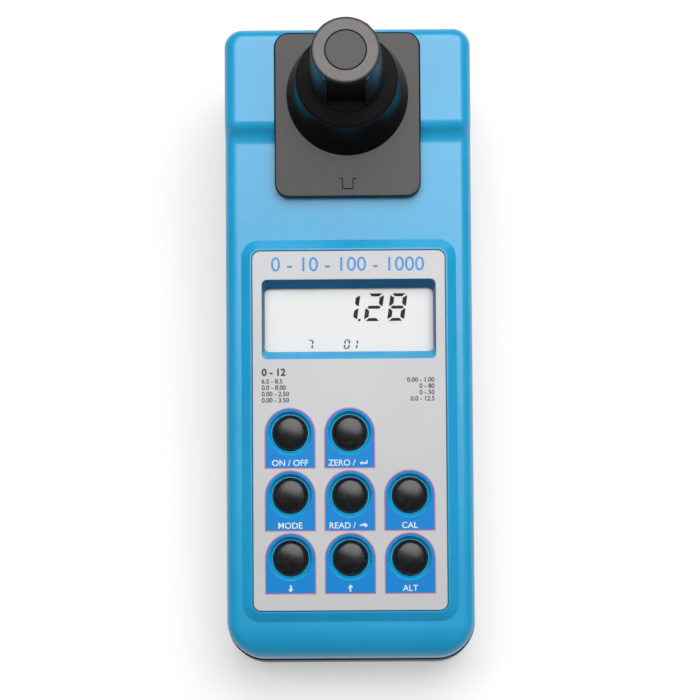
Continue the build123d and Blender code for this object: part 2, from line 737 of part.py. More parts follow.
def skirt_r():
    """Outer radius of the cap's skirt."""
    return VIAL_NECK_R + WELL_GAP + CAP_SKIRT_WALL


def lamp_led():
    """Round lamp with a domed front, its back on the lamp board."""
    body = along_port(LAMP_R, OPTIC_FACE - LAMP_LENGTH + LAMP_R, OPTIC_FACE)
    dome = Pos(OPTIC_FACE - LAMP_LENGTH + LAMP_R, 0, 0) * Sphere(LAMP_R)
    return at_port(180.0, body + dome)


def beam_lens():
    """Flat-backed lens in front of the lamp."""
    disc = along_port(LENS_R, lens_near(), lens_near() + LENS_THICKNESS)
    return at_port(180.0, disc)


def detector(turn):
    """Square photodiode in its pocket."""
    block = port_box(OPTIC_FACE - DETECTOR_THICKNESS, OPTIC_FACE, DETECTOR_SIDE, DETECTOR_SIDE)
    return at_port(turn, block)


def optic_board(turn):
    """Small circuit board on the outer face of an optic pad."""
    far = OPTIC_FACE + OPTIC_BOARD_THICKNESS
    return at_port(turn, port_box(OPTIC_FACE, far, OPTIC_PAD_WIDTH, OPTIC_PAD_HEIGHT))


def cuvette_vial():
    """Round glass sample vial with a narrower neck."""
    wall = VIAL_WALL
    outer = [(0, VIAL_BASE_Z), (VIAL_R, VIAL_BASE_Z), (VIAL_R, SHOULDER_Z)]
    neck = [(VIAL_NECK_R, NECK_Z), (VIAL_NECK_R, VIAL_TOP_Z), (VIAL_NECK_R - wall, VIAL_TOP_Z)]
    inner = [(VIAL_NECK_R - wall, NECK_Z), (VIAL_R - wall, SHOULDER_Z - wall)]
    floor = [(VIAL_R - wall, VIAL_BASE_Z + wall), (0, VIAL_BASE_Z + wall)]
    return Pos(0, CELL_Y, 0) * turned(outer + neck + inner + floor)


def cap_liner():
    """Sealing disc between the vial's mouth and the cap."""
    radius = VIAL_NECK_R - PILOT_GAP
    return upright(0, CELL_Y, radius, VIAL_TOP_Z, VIAL_TOP_Z + LINER_THICKNESS)


def knob_pocket(low, high):
    """What a grip flat takes off the +X side of the knob, its sides opening outwards."""
    floor = Pos(FLAT_DISTANCE, 0, (low + high) / 2) * Rot(0, 90, 0) * Rectangle(high - low, FLAT_WIDTH)
    pocket = extrude(floor, KNOB_BASE_R - FLAT_DISTANCE + RIB_PROUD, taper=-FLAT_DRAFT)
    return fillet(pocket.faces().sort_by(Axis.X)[0].edges().filter_by(Axis.Z), FLAT_CORNER_R)


def knob_ribs(low, high):
    """Pair of upright ribs beside the grip flat on the +X side of the knob."""
    reach = KNOB_TOP_R + RIB_PROUD
    side = FLAT_WIDTH / 2 + RIB_WIDTH / 2
    side += (KNOB_TOP_R - FLAT_DISTANCE) * math.tan(math.radians(FLAT_DRAFT))
    ribs = Part()
    for y in (-side, side):
        ribs += Pos(reach / 2, y, (low + high) / 2) * Box(reach, RIB_WIDTH, high - low)
    return ribs & Pos(0, 0, (low + high) / 2) * Cylinder(reach, high - low)


def cuvette_cap():
    """Screw cap: skirt, shoulder and a knob with a recessed grip flat front and back."""
    skirt_low = NECK_Z + WELL_GAP
    seat_z = RIM_Z + PILOT_GAP
    shoulder_z = seat_z + CAP_SHOULDER_EDGE
    knob_z = shoulder_z + CAP_SHOULDER_RISE
    top_z = knob_z + KNOB_HEIGHT
    socket_r = VIAL_NECK_R + WELL_GAP
    roof_z = VIAL_TOP_Z + LINER_THICKNESS
    skirt = [(socket_r, skirt_low), (skirt_r(), skirt_low), (skirt_r(), seat_z)]
    shoulder = [(CAP_SHOULDER_R, seat_z), (CAP_SHOULDER_R, shoulder_z), (KNOB_BASE_R, knob_z)]
    knob = [(KNOB_TOP_R, top_z), (0, top_z), (0, top_z - KNOB_ROOF), (KNOB_BORE_R, top_z - KNOB_ROOF)]
    socket = [(KNOB_BORE_R, roof_z), (socket_r, roof_z)]
    cap = turned(skirt + shoulder + knob + socket)
    cap = fillet(cap.edges().group_by(Axis.Z)[-1], KNOB_EDGE_R)
    for turn in (90, 270):
        cap += Rot(0, 0, turn) * knob_ribs(knob_z, top_z - FLAT_RIM)
        cap -= Rot(0, 0, turn) * knob_pocket(knob_z + FLAT_RIM, top_z - FLAT_RIM)
    ring = Cylinder(TOP_RING_R + TOP_RING_WIDTH, 2 * TOP_RING_DEPTH)
    ring -= Cylinder(TOP_RING_R, 2 * TOP_RING_DEPTH)
    return Pos(0, CELL_Y, 0) * (cap - Pos(0, 0, top_z) * ring)


def panel_overlay():
    """Printed front sheet with holes for the display and the keys."""
    sheet = panel_plan(0, PANEL_CORNER_R, POCKET_N) - display_mouth(POCKET_N)
    for name in KEY_PLACES:
        x, s = key_spot(name)
        sheet -= Pos(x, s, POCKET_N) * Circle(WELL_TOP_R)
    return FACE * extrude(sheet, OVERLAY_THICKNESS)


def display_window():
    """Clear sheet under the display recess."""
    return FACE * display_layer(WINDOW_MARGIN, WINDOW_BACK_N, WINDOW_TOP_N)


def lcd_glass():
    """Display glass behind the clear sheet."""
    return FACE * display_layer(LCD_MARGIN, LCD_BACK_N, WINDOW_BACK_N)


def lcd_frame():
    """Carrier round the display glass, standing on the board."""
    block = display_layer(FRAME_GROW, BOARD_TOP_N, WINDOW_BACK_N)
    block -= display_layer(LCD_MARGIN + FIT_GAP, LCD_BACK_N, WINDOW_BACK_N)
    return FACE * (block - display_layer(LCD_MARGIN - FRAME_WALL / 2, BOARD_TOP_N, LCD_BACK_N))


def lcd_connectors():
    """Two elastomer strips that join the glass to the board."""
    offset_s = VIEW_HEIGHT / 2 + LCD_MARGIN - FRAME_WALL / 2 - STRIP_WIDTH / 2 - FIT_GAP
    strip = Box(VIEW_WIDTH - 2 * STRIP_WIDTH, STRIP_WIDTH, LCD_BACK_N - BOARD_TOP_N)
    level = (LCD_BACK_N + BOARD_TOP_N) / 2
    places = (DISPLAY_CENTRE_S - offset_s, DISPLAY_CENTRE_S + offset_s)
    return Compound([FACE * (Pos(0, s, level) * strip) for s in places])


def key(name):
    """Domed rubber key with a retaining flange and a contact pill."""
    edge_n = KEY_TOP_N - KEY_DOME_RISE
    dome = ThreePointArc((0, KEY_TOP_N), (KEY_R / 2, KEY_TOP_N - KEY_DOME_RISE / 4), (KEY_R, edge_n))
    side = [(KEY_R, edge_n), (KEY_R, FLANGE_TOP_N), (KEY_FLANGE_R, FLANGE_TOP_N)]
    back = [(KEY_FLANGE_R, FLANGE_BACK_N), (KEY_PILL_R, FLANGE_BACK_N), (KEY_PILL_R, PILL_END_N)]
    rest = Polyline(*(side + back + [(0, PILL_END_N), (0, KEY_TOP_N)]))
    body = revolve(Plane.XZ * make_face(dome + rest), Axis.Z)
    rim = [edge for edge in body.edges() if abs(edge.center().Z - edge_n) < KEY_GAP]
    body = fillet(rim, KEY_EDGE_R)
    x, s = key_spot(name)
    return FACE * (Pos(x, s, 0) * body)


def keypad_mat():
    """Rubber sheet on the board, with a skirt under each key."""
    half = KEY_COLUMN_PITCH + MAT_MARGIN
    tail_s = KEY_LAST_ROW_S - MAT_MARGIN
    plan = rounded_plan(half, tail_s, KEY_FIRST_ROW_S + MAT_MARGIN, WALL, WALL, BOARD_TOP_N)
    mat = extrude(plan, MAT_THICKNESS)
    inner_r = KEY_PILL_R + MAT_THICKNESS
    for name in KEY_PLACES:
        x, s = key_spot(name)
        mat += face_post(x, s, inner_r + SKIRT_WALL, BOARD_TOP_N, SKIRT_TOP_N)
        mat -= face_post(x, s, inner_r, BOARD_TOP_N, SKIRT_TOP_N)
    return FACE * mat


def main_board():
    """Circuit board under the keypad and the display, notched round the case bosses."""
    plan = rounded_plan(BOARD_HALF_WIDTH, BOARD_TAIL_S, BOARD_HEAD_S, WALL, WALL, BOARD_BACK_N)
    board = extrude(plan, BOARD_THICKNESS)
    for x, s in board_screw_places():
        board -= face_post(x, s, BOARD_SCREW_R + PILOT_GAP, BOARD_BACK_N, BOARD_TOP_N)
    board = FACE * board
    for x, y in case_screw_places():
        board -= upright(x, y, CASE_BOSS_R + BOARD_NOTCH_GAP, 0, FAR / 4)
    return board


def board_chips():
    """Chips on the back of the board."""
    level = BOARD_BACK_N - CHIP_HEIGHT / 2
    boxes = [Pos(x, DISPLAY_CENTRE_S - below, level) * Box(w, d, CHIP_HEIGHT) for x, below, w, d in CHIPS]
    return Compound([FACE * box for box in boxes])


def board_screws():
    """Four small screws from the back of the board into the bosses."""
    screws = []
    for x, s in board_screw_places():
        head = face_post(x, s, BOARD_HEAD_R, BOARD_BACK_N - BOARD_HEAD_HEIGHT, BOARD_BACK_N)
        shank = face_post(x, s, BOARD_SCREW_R - PILOT_GAP, BOARD_BACK_N, BOARD_TOP_N + BOARD_SCREW_BITE)
        screws.append(FACE * (head + shank))
    return Compound(screws)


def ribbon_cable():
    """Flat cable from the scatter detector's board up to the main board."""
    start_y = CELL_Y - OPTIC_FACE - OPTIC_BOARD_THICKNESS
    board_end = on_face(0, BOARD_HEAD_S - WALL * 2, BOARD_BACK_N)
    points = [(start_y, BEAM_Z), (board_end.Y, BEAM_Z), (board_end.Y, board_end.Z)]
    path = FilletPolyline(*points, radius=RIBBON_BEND_R)
    strip = trace(path, RIBBON_THICKNESS)
    cable = extrude(Plane.YZ * strip, RIBBON_WIDTH / 2, both=True)
    under_board = FACE * (Pos(0, 0, BOARD_BACK_N - FAR / 2) * Box(FAR, FAR, FAR))
    return cable & under_board


def dc_jack():
    """Adapter socket behind the head end, with its centre pin."""
    inner_y = END_Y - LOWER_WALL
    body = Pos(JACK_X, inner_y - JACK_BODY_LENGTH / 2, JACK_Z)
    jack = body * Box(JACK_BODY_WIDTH, JACK_BODY_LENGTH, JACK_BODY_WIDTH + WALL)
    nose = Rot(90, 0, 0) * Cylinder(JACK_NOSE_R, LOWER_WALL)
    jack += Pos(JACK_X, END_Y - LOWER_WALL / 2, JACK_Z) * nose
    depth = JACK_BODY_LENGTH - WALL + LOWER_WALL
    bore = Rot(90, 0, 0) * (Cylinder(JACK_BORE_R, depth) - Cylinder(JACK_PIN_R, depth))
    return jack - Pos(JACK_X, END_Y - depth / 2, JACK_Z) * bore


def all_pieces():
    """Every piece of the meter, by node name."""
    pieces = {
        "bottom_shell": bottom_shell(),
        "top_shell": top_shell(),
        "case_gasket": case_gasket(),
        "case_screws": case_screws(),
        "rubber_feet": rubber_feet(),
        "battery_door": battery_door(),
        "contact_plates": contact_plates(),
        "contact_leaves": contact_leaves(),
        "holder_plate": holder_plate(),
        "cell_holder": cell_holder(),
        "lamp_led": lamp_led(),
        "beam_lens": beam_lens(),
        "cuvette_vial": cuvette_vial(),
        "cap_liner": cap_liner(),
        "cuvette_cap": cuvette_cap(),
        "panel_overlay": panel_overlay(),
        "display_window": display_window(),
        "lcd_glass": lcd_glass(),
        "lcd_frame": lcd_frame(),
        "lcd_connectors": lcd_connectors(),
        "keypad_mat": keypad_mat(),
        "main_board": main_board(),
        "board_chips": board_chips(),
        "board_screws": board_screws(),
        "ribbon_cable": ribbon_cable(),
        "dc_jack": dc_jack(),
    }
    for name, turn in ports():
        pieces[name + "_board"] = optic_board(turn)
        if name != "lamp":
            pieces[name + "_detector"] = detector(turn)
    for index in range(CELL_COUNT):
        pieces[f"battery_cell_{index + 1}"] = battery_cell(index)
    for name in KEY_PLACES:
        pieces[name] = key(name)
    return pieces


os.makedirs("parts", exist_ok=True)
for node, shape in all_pieces().items():
    export_step(shape, f"parts/{node}.step")
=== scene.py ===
"""Finish and detail of a handheld turbidity meter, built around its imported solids.

Everything is in metres in the meter's own frame: +Z up from the surface it lies on, +Y from the
tail to the head with the cuvette, +X across. Places on the sloping front are given in millimetres
in the face frame: x across, s along the face towards the head, n out of the face.
"""

import logging
import math
from dataclasses import dataclass, field
from enum import Enum
from typing import Callable, ClassVar, Iterable, Optional, Sequence, Union

import bmesh
import bpy
from mathutils import Matrix, Vector

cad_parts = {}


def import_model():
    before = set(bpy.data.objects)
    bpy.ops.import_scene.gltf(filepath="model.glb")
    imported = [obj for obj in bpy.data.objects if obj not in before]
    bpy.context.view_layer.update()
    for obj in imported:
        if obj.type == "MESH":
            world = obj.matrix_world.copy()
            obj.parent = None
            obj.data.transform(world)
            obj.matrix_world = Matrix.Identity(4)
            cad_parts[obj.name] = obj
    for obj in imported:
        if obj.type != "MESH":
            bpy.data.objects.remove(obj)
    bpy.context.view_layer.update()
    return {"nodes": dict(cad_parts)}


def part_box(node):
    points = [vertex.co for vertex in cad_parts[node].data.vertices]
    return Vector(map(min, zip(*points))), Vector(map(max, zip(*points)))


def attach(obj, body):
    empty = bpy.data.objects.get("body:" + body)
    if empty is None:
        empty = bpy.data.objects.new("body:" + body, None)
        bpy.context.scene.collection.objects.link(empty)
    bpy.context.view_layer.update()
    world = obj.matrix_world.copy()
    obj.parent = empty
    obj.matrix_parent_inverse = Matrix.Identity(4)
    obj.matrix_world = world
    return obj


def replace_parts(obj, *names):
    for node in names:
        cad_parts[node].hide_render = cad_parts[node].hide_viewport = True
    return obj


LOG = logging.getLogger("turbidity_meter")
MM = 0.001
FACE_SLOPE = math.radians(8.0)
WELD = 1e-6
WELD_MM = 0.001
FLAT_WITHIN = math.radians(0.3)

Number = Union[int, float]
Colour = tuple[float, float, float]
Point = tuple[float, float]
Point3 = tuple[float, float, float]


def srgb(red: int, green: int, blue: int) -> Colour:
    """Turn a display colour of 0 to 255 into a linear one.

    Args:
        red: Red level.
        green: Green level.
        blue: Blue level.

    Returns:
        The linear colour.
    """
    levels = []
    for level in (red, green, blue):
        share = level / 255
        levels.append(share / 12.92 if share <= 0.04045 else ((share + 0.055) / 1.055) ** 2.4)
    return tuple(levels)


def tinted(colour: Colour, gain: float, lift: float = 0.0) -> Colour:
    """A linear colour with every level scaled and raised."""
    return tuple(level * gain + lift for level in colour)


class Shade:
    """A socket of a material's node tree that takes part in Python arithmetic."""

    def __init__(self, tree: "ShaderTree", socket: bpy.types.NodeSocket) -> None:
        """Keep the socket and the tree it belongs to."""
        self.tree = tree
        self.socket = socket

    def _math(self, operation: str, first: "Value", second: "Value") -> "Shade":
        """Add one Math node and return its result."""
        return self.tree.node("ShaderNodeMath", {"operation": operation}, {0: first, 1: second})

    def __add__(self, other: "Value") -> "Shade":
        """Sum with another value."""
        return self._math("ADD", self, other)

    __radd__ = __add__

    def __sub__(self, other: "Value") -> "Shade":
        """Difference from another value."""
        return self._math("SUBTRACT", self, other)

    def __rsub__(self, other: "Value") -> "Shade":
        """Another value less this one."""
        return self._math("SUBTRACT", other, self)

    def __mul__(self, other: "Value") -> "Shade":
        """Product with another value."""
        return self._math("MULTIPLY", self, other)

    __rmul__ = __mul__

    def swing(self, reach: Number) -> "Shade":
        """This value of 0 to 1 as a swing about nothing, of that reach in all."""
        return (self - 0.5) * reach

    def ramp(self, low: Number, high: Number) -> "Shade":
        """Scale a range of this value to 0 to 1, and hold it there.

        Args:
            low: Value that becomes 0.
            high: Value that becomes 1.

        Returns:
            The scaled value.
        """
        sockets = {"Value": self, "From Min": low, "From Max": high}
        return self.tree.node("ShaderNodeMapRange", {"clamp": True}, sockets)


Value = Union[Number, Shade]


class ShaderTree:
    """The node tree of one material."""

    MIX_FIRST = 6
    MIX_SECOND = 7
    MIX_RESULT = 2

    def __init__(self, name: str) -> None:
        """Start an empty material.

        Args:
            name: Its name.
        """
        self.material = bpy.data.materials.new(name)
        self.material.use_nodes = True
        self.nodes = self.material.node_tree.nodes
        self.links = self.material.node_tree.links
        self.nodes.clear()

    def node(
        self,
        kind: str,
        settings: Optional[dict] = None,
        sockets: Optional[dict] = None,
        out: Union[int, str] = 0,
    ) -> Shade:
        """Add a node, set it up and join its inputs.

        Args:
            kind: The node's type.
            settings: Properties set before the sockets, such as an operation.
            sockets: Values or links by input name or number.
            out: The output that is returned.

        Returns:
            The chosen output.
        """
        made = self.nodes.new(kind)
        for key, value in (settings or {}).items():
            setattr(made, key, value)
        for key, value in (sockets or {}).items():
            self.feed(made.inputs[key], value)
        return Shade(self, made.outputs[out])

    def feed(self, socket: bpy.types.NodeSocket, value: object) -> None:
        """Link a shade to a socket, or set the socket to a plain value.

        Args:
            socket: The input socket.
            value: A shade, a number, a colour or a vector.
        """
        if isinstance(value, Shade):
            self.links.new(value.socket, socket)
        elif isinstance(value, tuple) and len(value) == 3 and socket.type == "RGBA":
            socket.default_value = (*value, 1.0)
        else:
            socket.default_value = value

    def place(self, scale: Point3 = (1.0, 1.0, 1.0), shift: Point3 = (0.0, 0.0, 0.0)) -> Shade:
        """Object coordinates, scaled and moved."""
        spot = self.node("ShaderNodeTexCoord", out="Object")
        return self.node("ShaderNodeMapping", {}, {"Vector": spot, "Scale": scale, "Location": shift})

    def noise(self, spot: Shade, scale: Number, detail: Number = 2.0, rough: Number = 0.5) -> Shade:
        """Smooth noise at a scale per metre."""
        sockets = {"Vector": spot, "Scale": scale, "Detail": detail, "Roughness": rough}
        return self.node("ShaderNodeTexNoise", {}, sockets)

    def cells(self, spot: Shade, scale: Number) -> Shade:
        """Distance to the nearest of scattered points."""
        return self.node("ShaderNodeTexVoronoi", {"feature": "F1"}, {"Vector": spot, "Scale": scale})

    def mix(self, share: Value, first: object, second: object) -> Shade:
        """Blend two colours."""
        sockets = {"Factor": share, self.MIX_FIRST: first, self.MIX_SECOND: second}
        return self.node("ShaderNodeMix", {"data_type": "RGBA"}, sockets, self.MIX_RESULT)

    def bump(self, height: Shade, depth: Number, distance: Number) -> Shade:
        """Surface normal of a height."""
        sockets = {"Strength": depth, "Distance": distance, "Height": height}
        return self.node("ShaderNodeBump", {}, sockets)

    def finish(
        self, colour: Shade, rough: Shade, normal: Shade, gloss: float = 0.5, metallic: float = 0.0
    ) -> bpy.types.Material:
        """Close the tree with one Principled shader.

        Args:
            colour: Base colour.
            rough: Roughness.
            normal: Surface normal.
            gloss: Strength of the reflection seen face on.
            metallic: 1 for bare metal, or 0.

        Returns:
            The finished material.
        """
        sockets = {
            "Base Color": colour, "Metallic": metallic, "Roughness": rough, "Normal": normal,
            "Specular IOR Level": gloss,
        }
        self.output(self.node("ShaderNodeBsdfPrincipled", {}, sockets))
        return self.material

    def output(self, shader: Shade) -> None:
        """Send a shader to the surface."""
        surface = self.nodes.new("ShaderNodeOutputMaterial")
        self.links.new(shader.socket, surface.inputs["Surface"])


@dataclass(frozen=True)
class Recipe:
    """Name and main colour of a finish, and how its material is made."""

    name: str
    colour: Colour

    def build(self) -> bpy.types.Material:
        """Make the material, as each kind of finish does in its own way."""
        raise NotImplementedError


@dataclass(frozen=True)
class MouldedPlastic(Recipe):
    """Injection-moulded plastic with a fine spark-eroded texture."""

    worn: Colour
    roughness: float = 0.4
    grain_per_m: float = 9000.0
    grain_depth: float = 0.12
    gloss: float = 0.5
    grain_height: float = 0.00006
    grain_swing: float = 0.1
    cloud_per_m: float = 38.0
    cloud_range: Point = (0.35, 0.75)
    cloud_swing: float = 0.08

    def build(self) -> bpy.types.Material:
        """Make the material.

        Returns:
            The material.
        """
        tree = ShaderTree(self.name)
        spot = tree.place()
        cloud = tree.noise(spot, self.cloud_per_m, detail=3.0)
        grain = tree.noise(spot, self.grain_per_m, rough=0.6)
        colour = tree.mix(cloud.ramp(*self.cloud_range), self.colour, self.worn)
        rough = self.roughness + cloud.swing(self.cloud_swing) + grain.swing(self.grain_swing)
        normal = tree.bump(grain, self.grain_depth, self.grain_height)
        return tree.finish(colour, rough, normal, self.gloss)


@dataclass(frozen=True)
class PolishedPlastic(Recipe):
    """Black plastic from a polished mould, with faint wipe marks."""

    roughness: float = 0.22
    gloss: float = 0.3
    matt_rim_of: Optional[str] = None
    rim_depth: float = 0.00077
    rim_fade: float = 0.0002
    rim_rough: float = 0.7
    wipe_per_m: float = 90.0
    wipe_stretch: Point3 = (1.0, 1.0, 6.0)
    wipe_range: Point = (0.4, 0.8)
    wipe_swing: float = 0.12
    wipe_gain: float = 1.8
    wipe_lift: float = 0.002
    speck_per_m: float = 2600.0
    speck_swing: float = 0.04
    speck_depth: float = 0.03
    speck_height: float = 0.00004

    def build(self) -> bpy.types.Material:
        """Make the material, matt at the upper rim of a node where one is named.

        Returns:
            The material.
        """
        tree = ShaderTree(self.name)
        spot = tree.place()
        wipe = tree.noise(tree.place(self.wipe_stretch), self.wipe_per_m, detail=4.0, rough=0.65)
        speck = tree.noise(spot, self.speck_per_m, detail=1.0)
        rough = self.roughness + wipe.swing(self.wipe_swing) + speck.swing(self.speck_swing)
        if self.matt_rim_of is not None:
            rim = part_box(self.matt_rim_of)[1].z - self.rim_depth
            height = tree.node("ShaderNodeSeparateXYZ", {}, {"Vector": spot}, "Z")
            rough = rough + height.ramp(rim, rim + self.rim_fade) * self.rim_rough
        wiped = tinted(self.colour, self.wipe_gain, self.wipe_lift)
        colour = tree.mix(wipe.ramp(*self.wipe_range), self.colour, wiped)
        normal = tree.bump(speck, self.speck_depth, self.speck_height)
        return tree.finish(colour, rough, normal, self.gloss)


@dataclass(frozen=True)
class TexturedPlastic(Recipe):
    """Plastic with a coarse leathery mould texture."""

    raised: Colour
    roughness: float = 0.5
    grain_per_m: float = 2600.0
    grain_depth: float = 0.5
    gloss: float = 0.5
    grain_height: float = 0.00012
    pebble_share: float = 0.7
    fine_share: float = 0.5
    fine_times: float = 2.5
    fine_swing: float = 0.16
    raised_range: Point = (0.35, 0.85)

    def build(self) -> bpy.types.Material:
        """Make the material.

        Returns:
            The material.
        """
        tree = ShaderTree(self.name)
        spot = tree.place()
        pebble = tree.cells(spot, self.grain_per_m)
        fine = tree.noise(spot, self.grain_per_m * self.fine_times, detail=3.0)
        height = pebble * self.pebble_share + fine * self.fine_share
        colour = tree.mix(height.ramp(*self.raised_range), self.raised, self.colour)
        rough = self.roughness + fine.swing(self.fine_swing)
        normal = tree.bump(height, self.grain_depth, self.grain_height)
        return tree.finish(colour, rough, normal, self.gloss)


@dataclass(frozen=True)
class KnobTop(Recipe):
    """Satin end of the knob, with painted shade in the groove round its inner disc and at its polished rim.
    """

    outer: Colour
    groove_painted_shade: Colour = (0.002, 0.002, 0.002)
    groove_r: float = 0.00655
    groove_half: float = 0.00028
    groove_core: float = 0.6
    groove_rough: float = 0.3
    rim_r: float = 0.0101
    rim_fade: float = 0.00008
    rim_polish: float = 0.2
    step_half: float = 0.0001
    roughness: float = 0.4
    gloss: float = 0.3
    cloud_per_m: float = 260.0
    cloud_range: Point = (0.3, 0.8)
    cloud_share: float = 0.35
    grain_per_m: float = 5200.0
    grain_swing: float = 0.12
    grain_depth: float = 0.15
    grain_height: float = 0.00005

    def build(self) -> bpy.types.Material:
        """Make the material, in rings round the axis of the vial.

        Returns:
            The material.
        """
        low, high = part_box("cuvette_vial")
        tree = ShaderTree(self.name)
        spot = tree.place(shift=(0.0, -(low.y + high.y) / 2, 0.0))
        flat = tree.node("ShaderNodeVectorMath", {"operation": "MULTIPLY"}, {0: spot, 1: (1.0, 1.0, 0.0)})
        reach = tree.node("ShaderNodeVectorMath", {"operation": "LENGTH"}, {0: flat}, "Value")
        off_groove = tree.node("ShaderNodeMath", {"operation": "ABSOLUTE"}, {0: reach - self.groove_r})
        groove = 1.0 - off_groove.ramp(self.groove_half * self.groove_core, self.groove_half)
        rim = reach.ramp(self.rim_r, self.rim_r + self.rim_fade)
        # Near black in the groove and at the rim: painted shade.
        dark = tree.node("ShaderNodeMath", {"operation": "MAXIMUM"}, {0: groove, 1: rim})
        cloud = tree.noise(spot, self.cloud_per_m, detail=4.0, rough=0.65)
        grain = tree.noise(spot, self.grain_per_m)
        beyond = reach.ramp(self.groove_r - self.step_half, self.groove_r + self.step_half)
        satin = tree.mix(beyond, self.colour, self.outer)
        satin = tree.mix(cloud.ramp(*self.cloud_range) * self.cloud_share, satin, self.colour)
        colour = tree.mix(dark, satin, self.groove_painted_shade)
        rough = self.roughness + grain.swing(self.grain_swing)
        rough = rough + groove * self.groove_rough - rim * self.rim_polish
        normal = tree.bump(grain, self.grain_depth, self.grain_height)
        return tree.finish(colour, rough, normal, self.gloss)


@dataclass(frozen=True)
class Rubber(Recipe):
    """Satin silicone rubber with a trace of dust."""

    roughness: float = 0.42
    dust_per_m: float = 420.0
    dust_range: Point = (0.5, 0.8)
    dust_lift: float = 0.012
    dust_swing: float = 0.1
    grain_per_m: float = 6000.0
    grain_depth: float = 0.08
    grain_height: float = 0.00004

    def build(self) -> bpy.types.Material:
        """Make the material.

        Returns:
            The material.
        """
        tree = ShaderTree(self.name)
        spot = tree.place()
        dust = tree.noise(spot, self.dust_per_m, detail=4.0, rough=0.7)
        grain = tree.noise(spot, self.grain_per_m, detail=1.0)
        dusty = tinted(self.colour, 1.0, self.dust_lift)
        colour = tree.mix(dust.ramp(*self.dust_range), self.colour, dusty)
        rough = self.roughness + dust.swing(self.dust_swing)
        return tree.finish(colour, rough, tree.bump(grain, self.grain_depth, self.grain_height))


@dataclass(frozen=True)
class PrintedFilm(Recipe):
    """Polyester front sheet or a colour printed on it."""

    roughness: float = 0.38
    grain_per_m: float = 5200.0
    gloss: float = 0.5
    grain_swing: float = 0.12
    grain_depth: float = 0.06
    grain_height: float = 0.00003
    cloud_per_m: float = 25.0
    cloud_range: Point = (0.3, 0.75)
    cloud_gain: float = 0.93

    def build(self) -> bpy.types.Material:
        """Make the material.

        Returns:
            The material.
        """
        tree = ShaderTree(self.name)
        spot = tree.place()
        cloud = tree.noise(spot, self.cloud_per_m)
        grain = tree.noise(spot, self.grain_per_m)
        deep = tinted(self.colour, self.cloud_gain)
        colour = tree.mix(cloud.ramp(*self.cloud_range), self.colour, deep)
        rough = self.roughness + grain.swing(self.grain_swing)
        normal = tree.bump(grain, self.grain_depth, self.grain_height)
        return tree.finish(colour, rough, normal, self.gloss)


@dataclass(frozen=True)
class Metal(Recipe):
    """Plated or brushed metal with fine lines."""

    roughness: float = 0.28
    stretch: Point3 = (1.0, 12.0, 12.0)
    line_per_m: float = 900.0
    line_swing: float = 0.25
    line_depth: float = 0.06
    line_height: float = 0.00003
    tarnish_per_m: float = 150.0
    tarnish_range: Point = (0.45, 0.8)
    tarnish_gain: float = 0.72

    def build(self) -> bpy.types.Material:
        """Make the material.

        Returns:
            The material.
        """
        tree = ShaderTree(self.name)
        lines = tree.noise(tree.place(self.stretch), self.line_per_m, detail=3.0, rough=0.6)
        tarnish = tree.noise(tree.place(), self.tarnish_per_m, detail=3.0)
        dull = tinted(self.colour, self.tarnish_gain)
        colour = tree.mix(tarnish.ramp(*self.tarnish_range), self.colour, dull)
        rough = self.roughness + lines.swing(self.line_swing)
        normal = tree.bump(lines, self.line_depth, self.line_height)
        return tree.finish(colour, rough, normal, metallic=1.0)


@dataclass(frozen=True)
class ClearPlastic(Recipe):
    """Clear sheet or glass that is see-through face on and glossy at a slant."""

    body: float = 0.06
    ior: float = 1.49
    roughness: float = 0.04
    smear_per_m: float = 60.0
    smear_stretch: Point3 = (1.0, 3.0, 1.0)
    smear_rough: float = 0.06
    smear_body: float = 0.02

    def build(self) -> bpy.types.Material:
        """Make the material.

        Returns:
            The material.
        """
        tree = ShaderTree(self.name)
        smear = tree.noise(tree.place(self.smear_stretch), self.smear_per_m, detail=4.0, rough=0.7)
        gloss = tree.node("ShaderNodeBsdfPrincipled", {}, {
            "Base Color": self.colour,
            "Roughness": self.roughness + smear * self.smear_rough,
            "IOR": self.ior,
        })
        clear = tree.node("ShaderNodeBsdfTransparent", {}, {"Color": self.colour})
        edge = tree.node("ShaderNodeFresnel", {}, {"IOR": self.ior})
        outside = 1.0 - tree.node("ShaderNodeNewGeometry", out="Backfacing")
        share = (edge * outside + self.body + smear * self.smear_body).ramp(0.0, 1.0)
        tree.output(tree.node("ShaderNodeMixShader", {}, {0: share, 1: clear, 2: gloss}))
        return tree.material


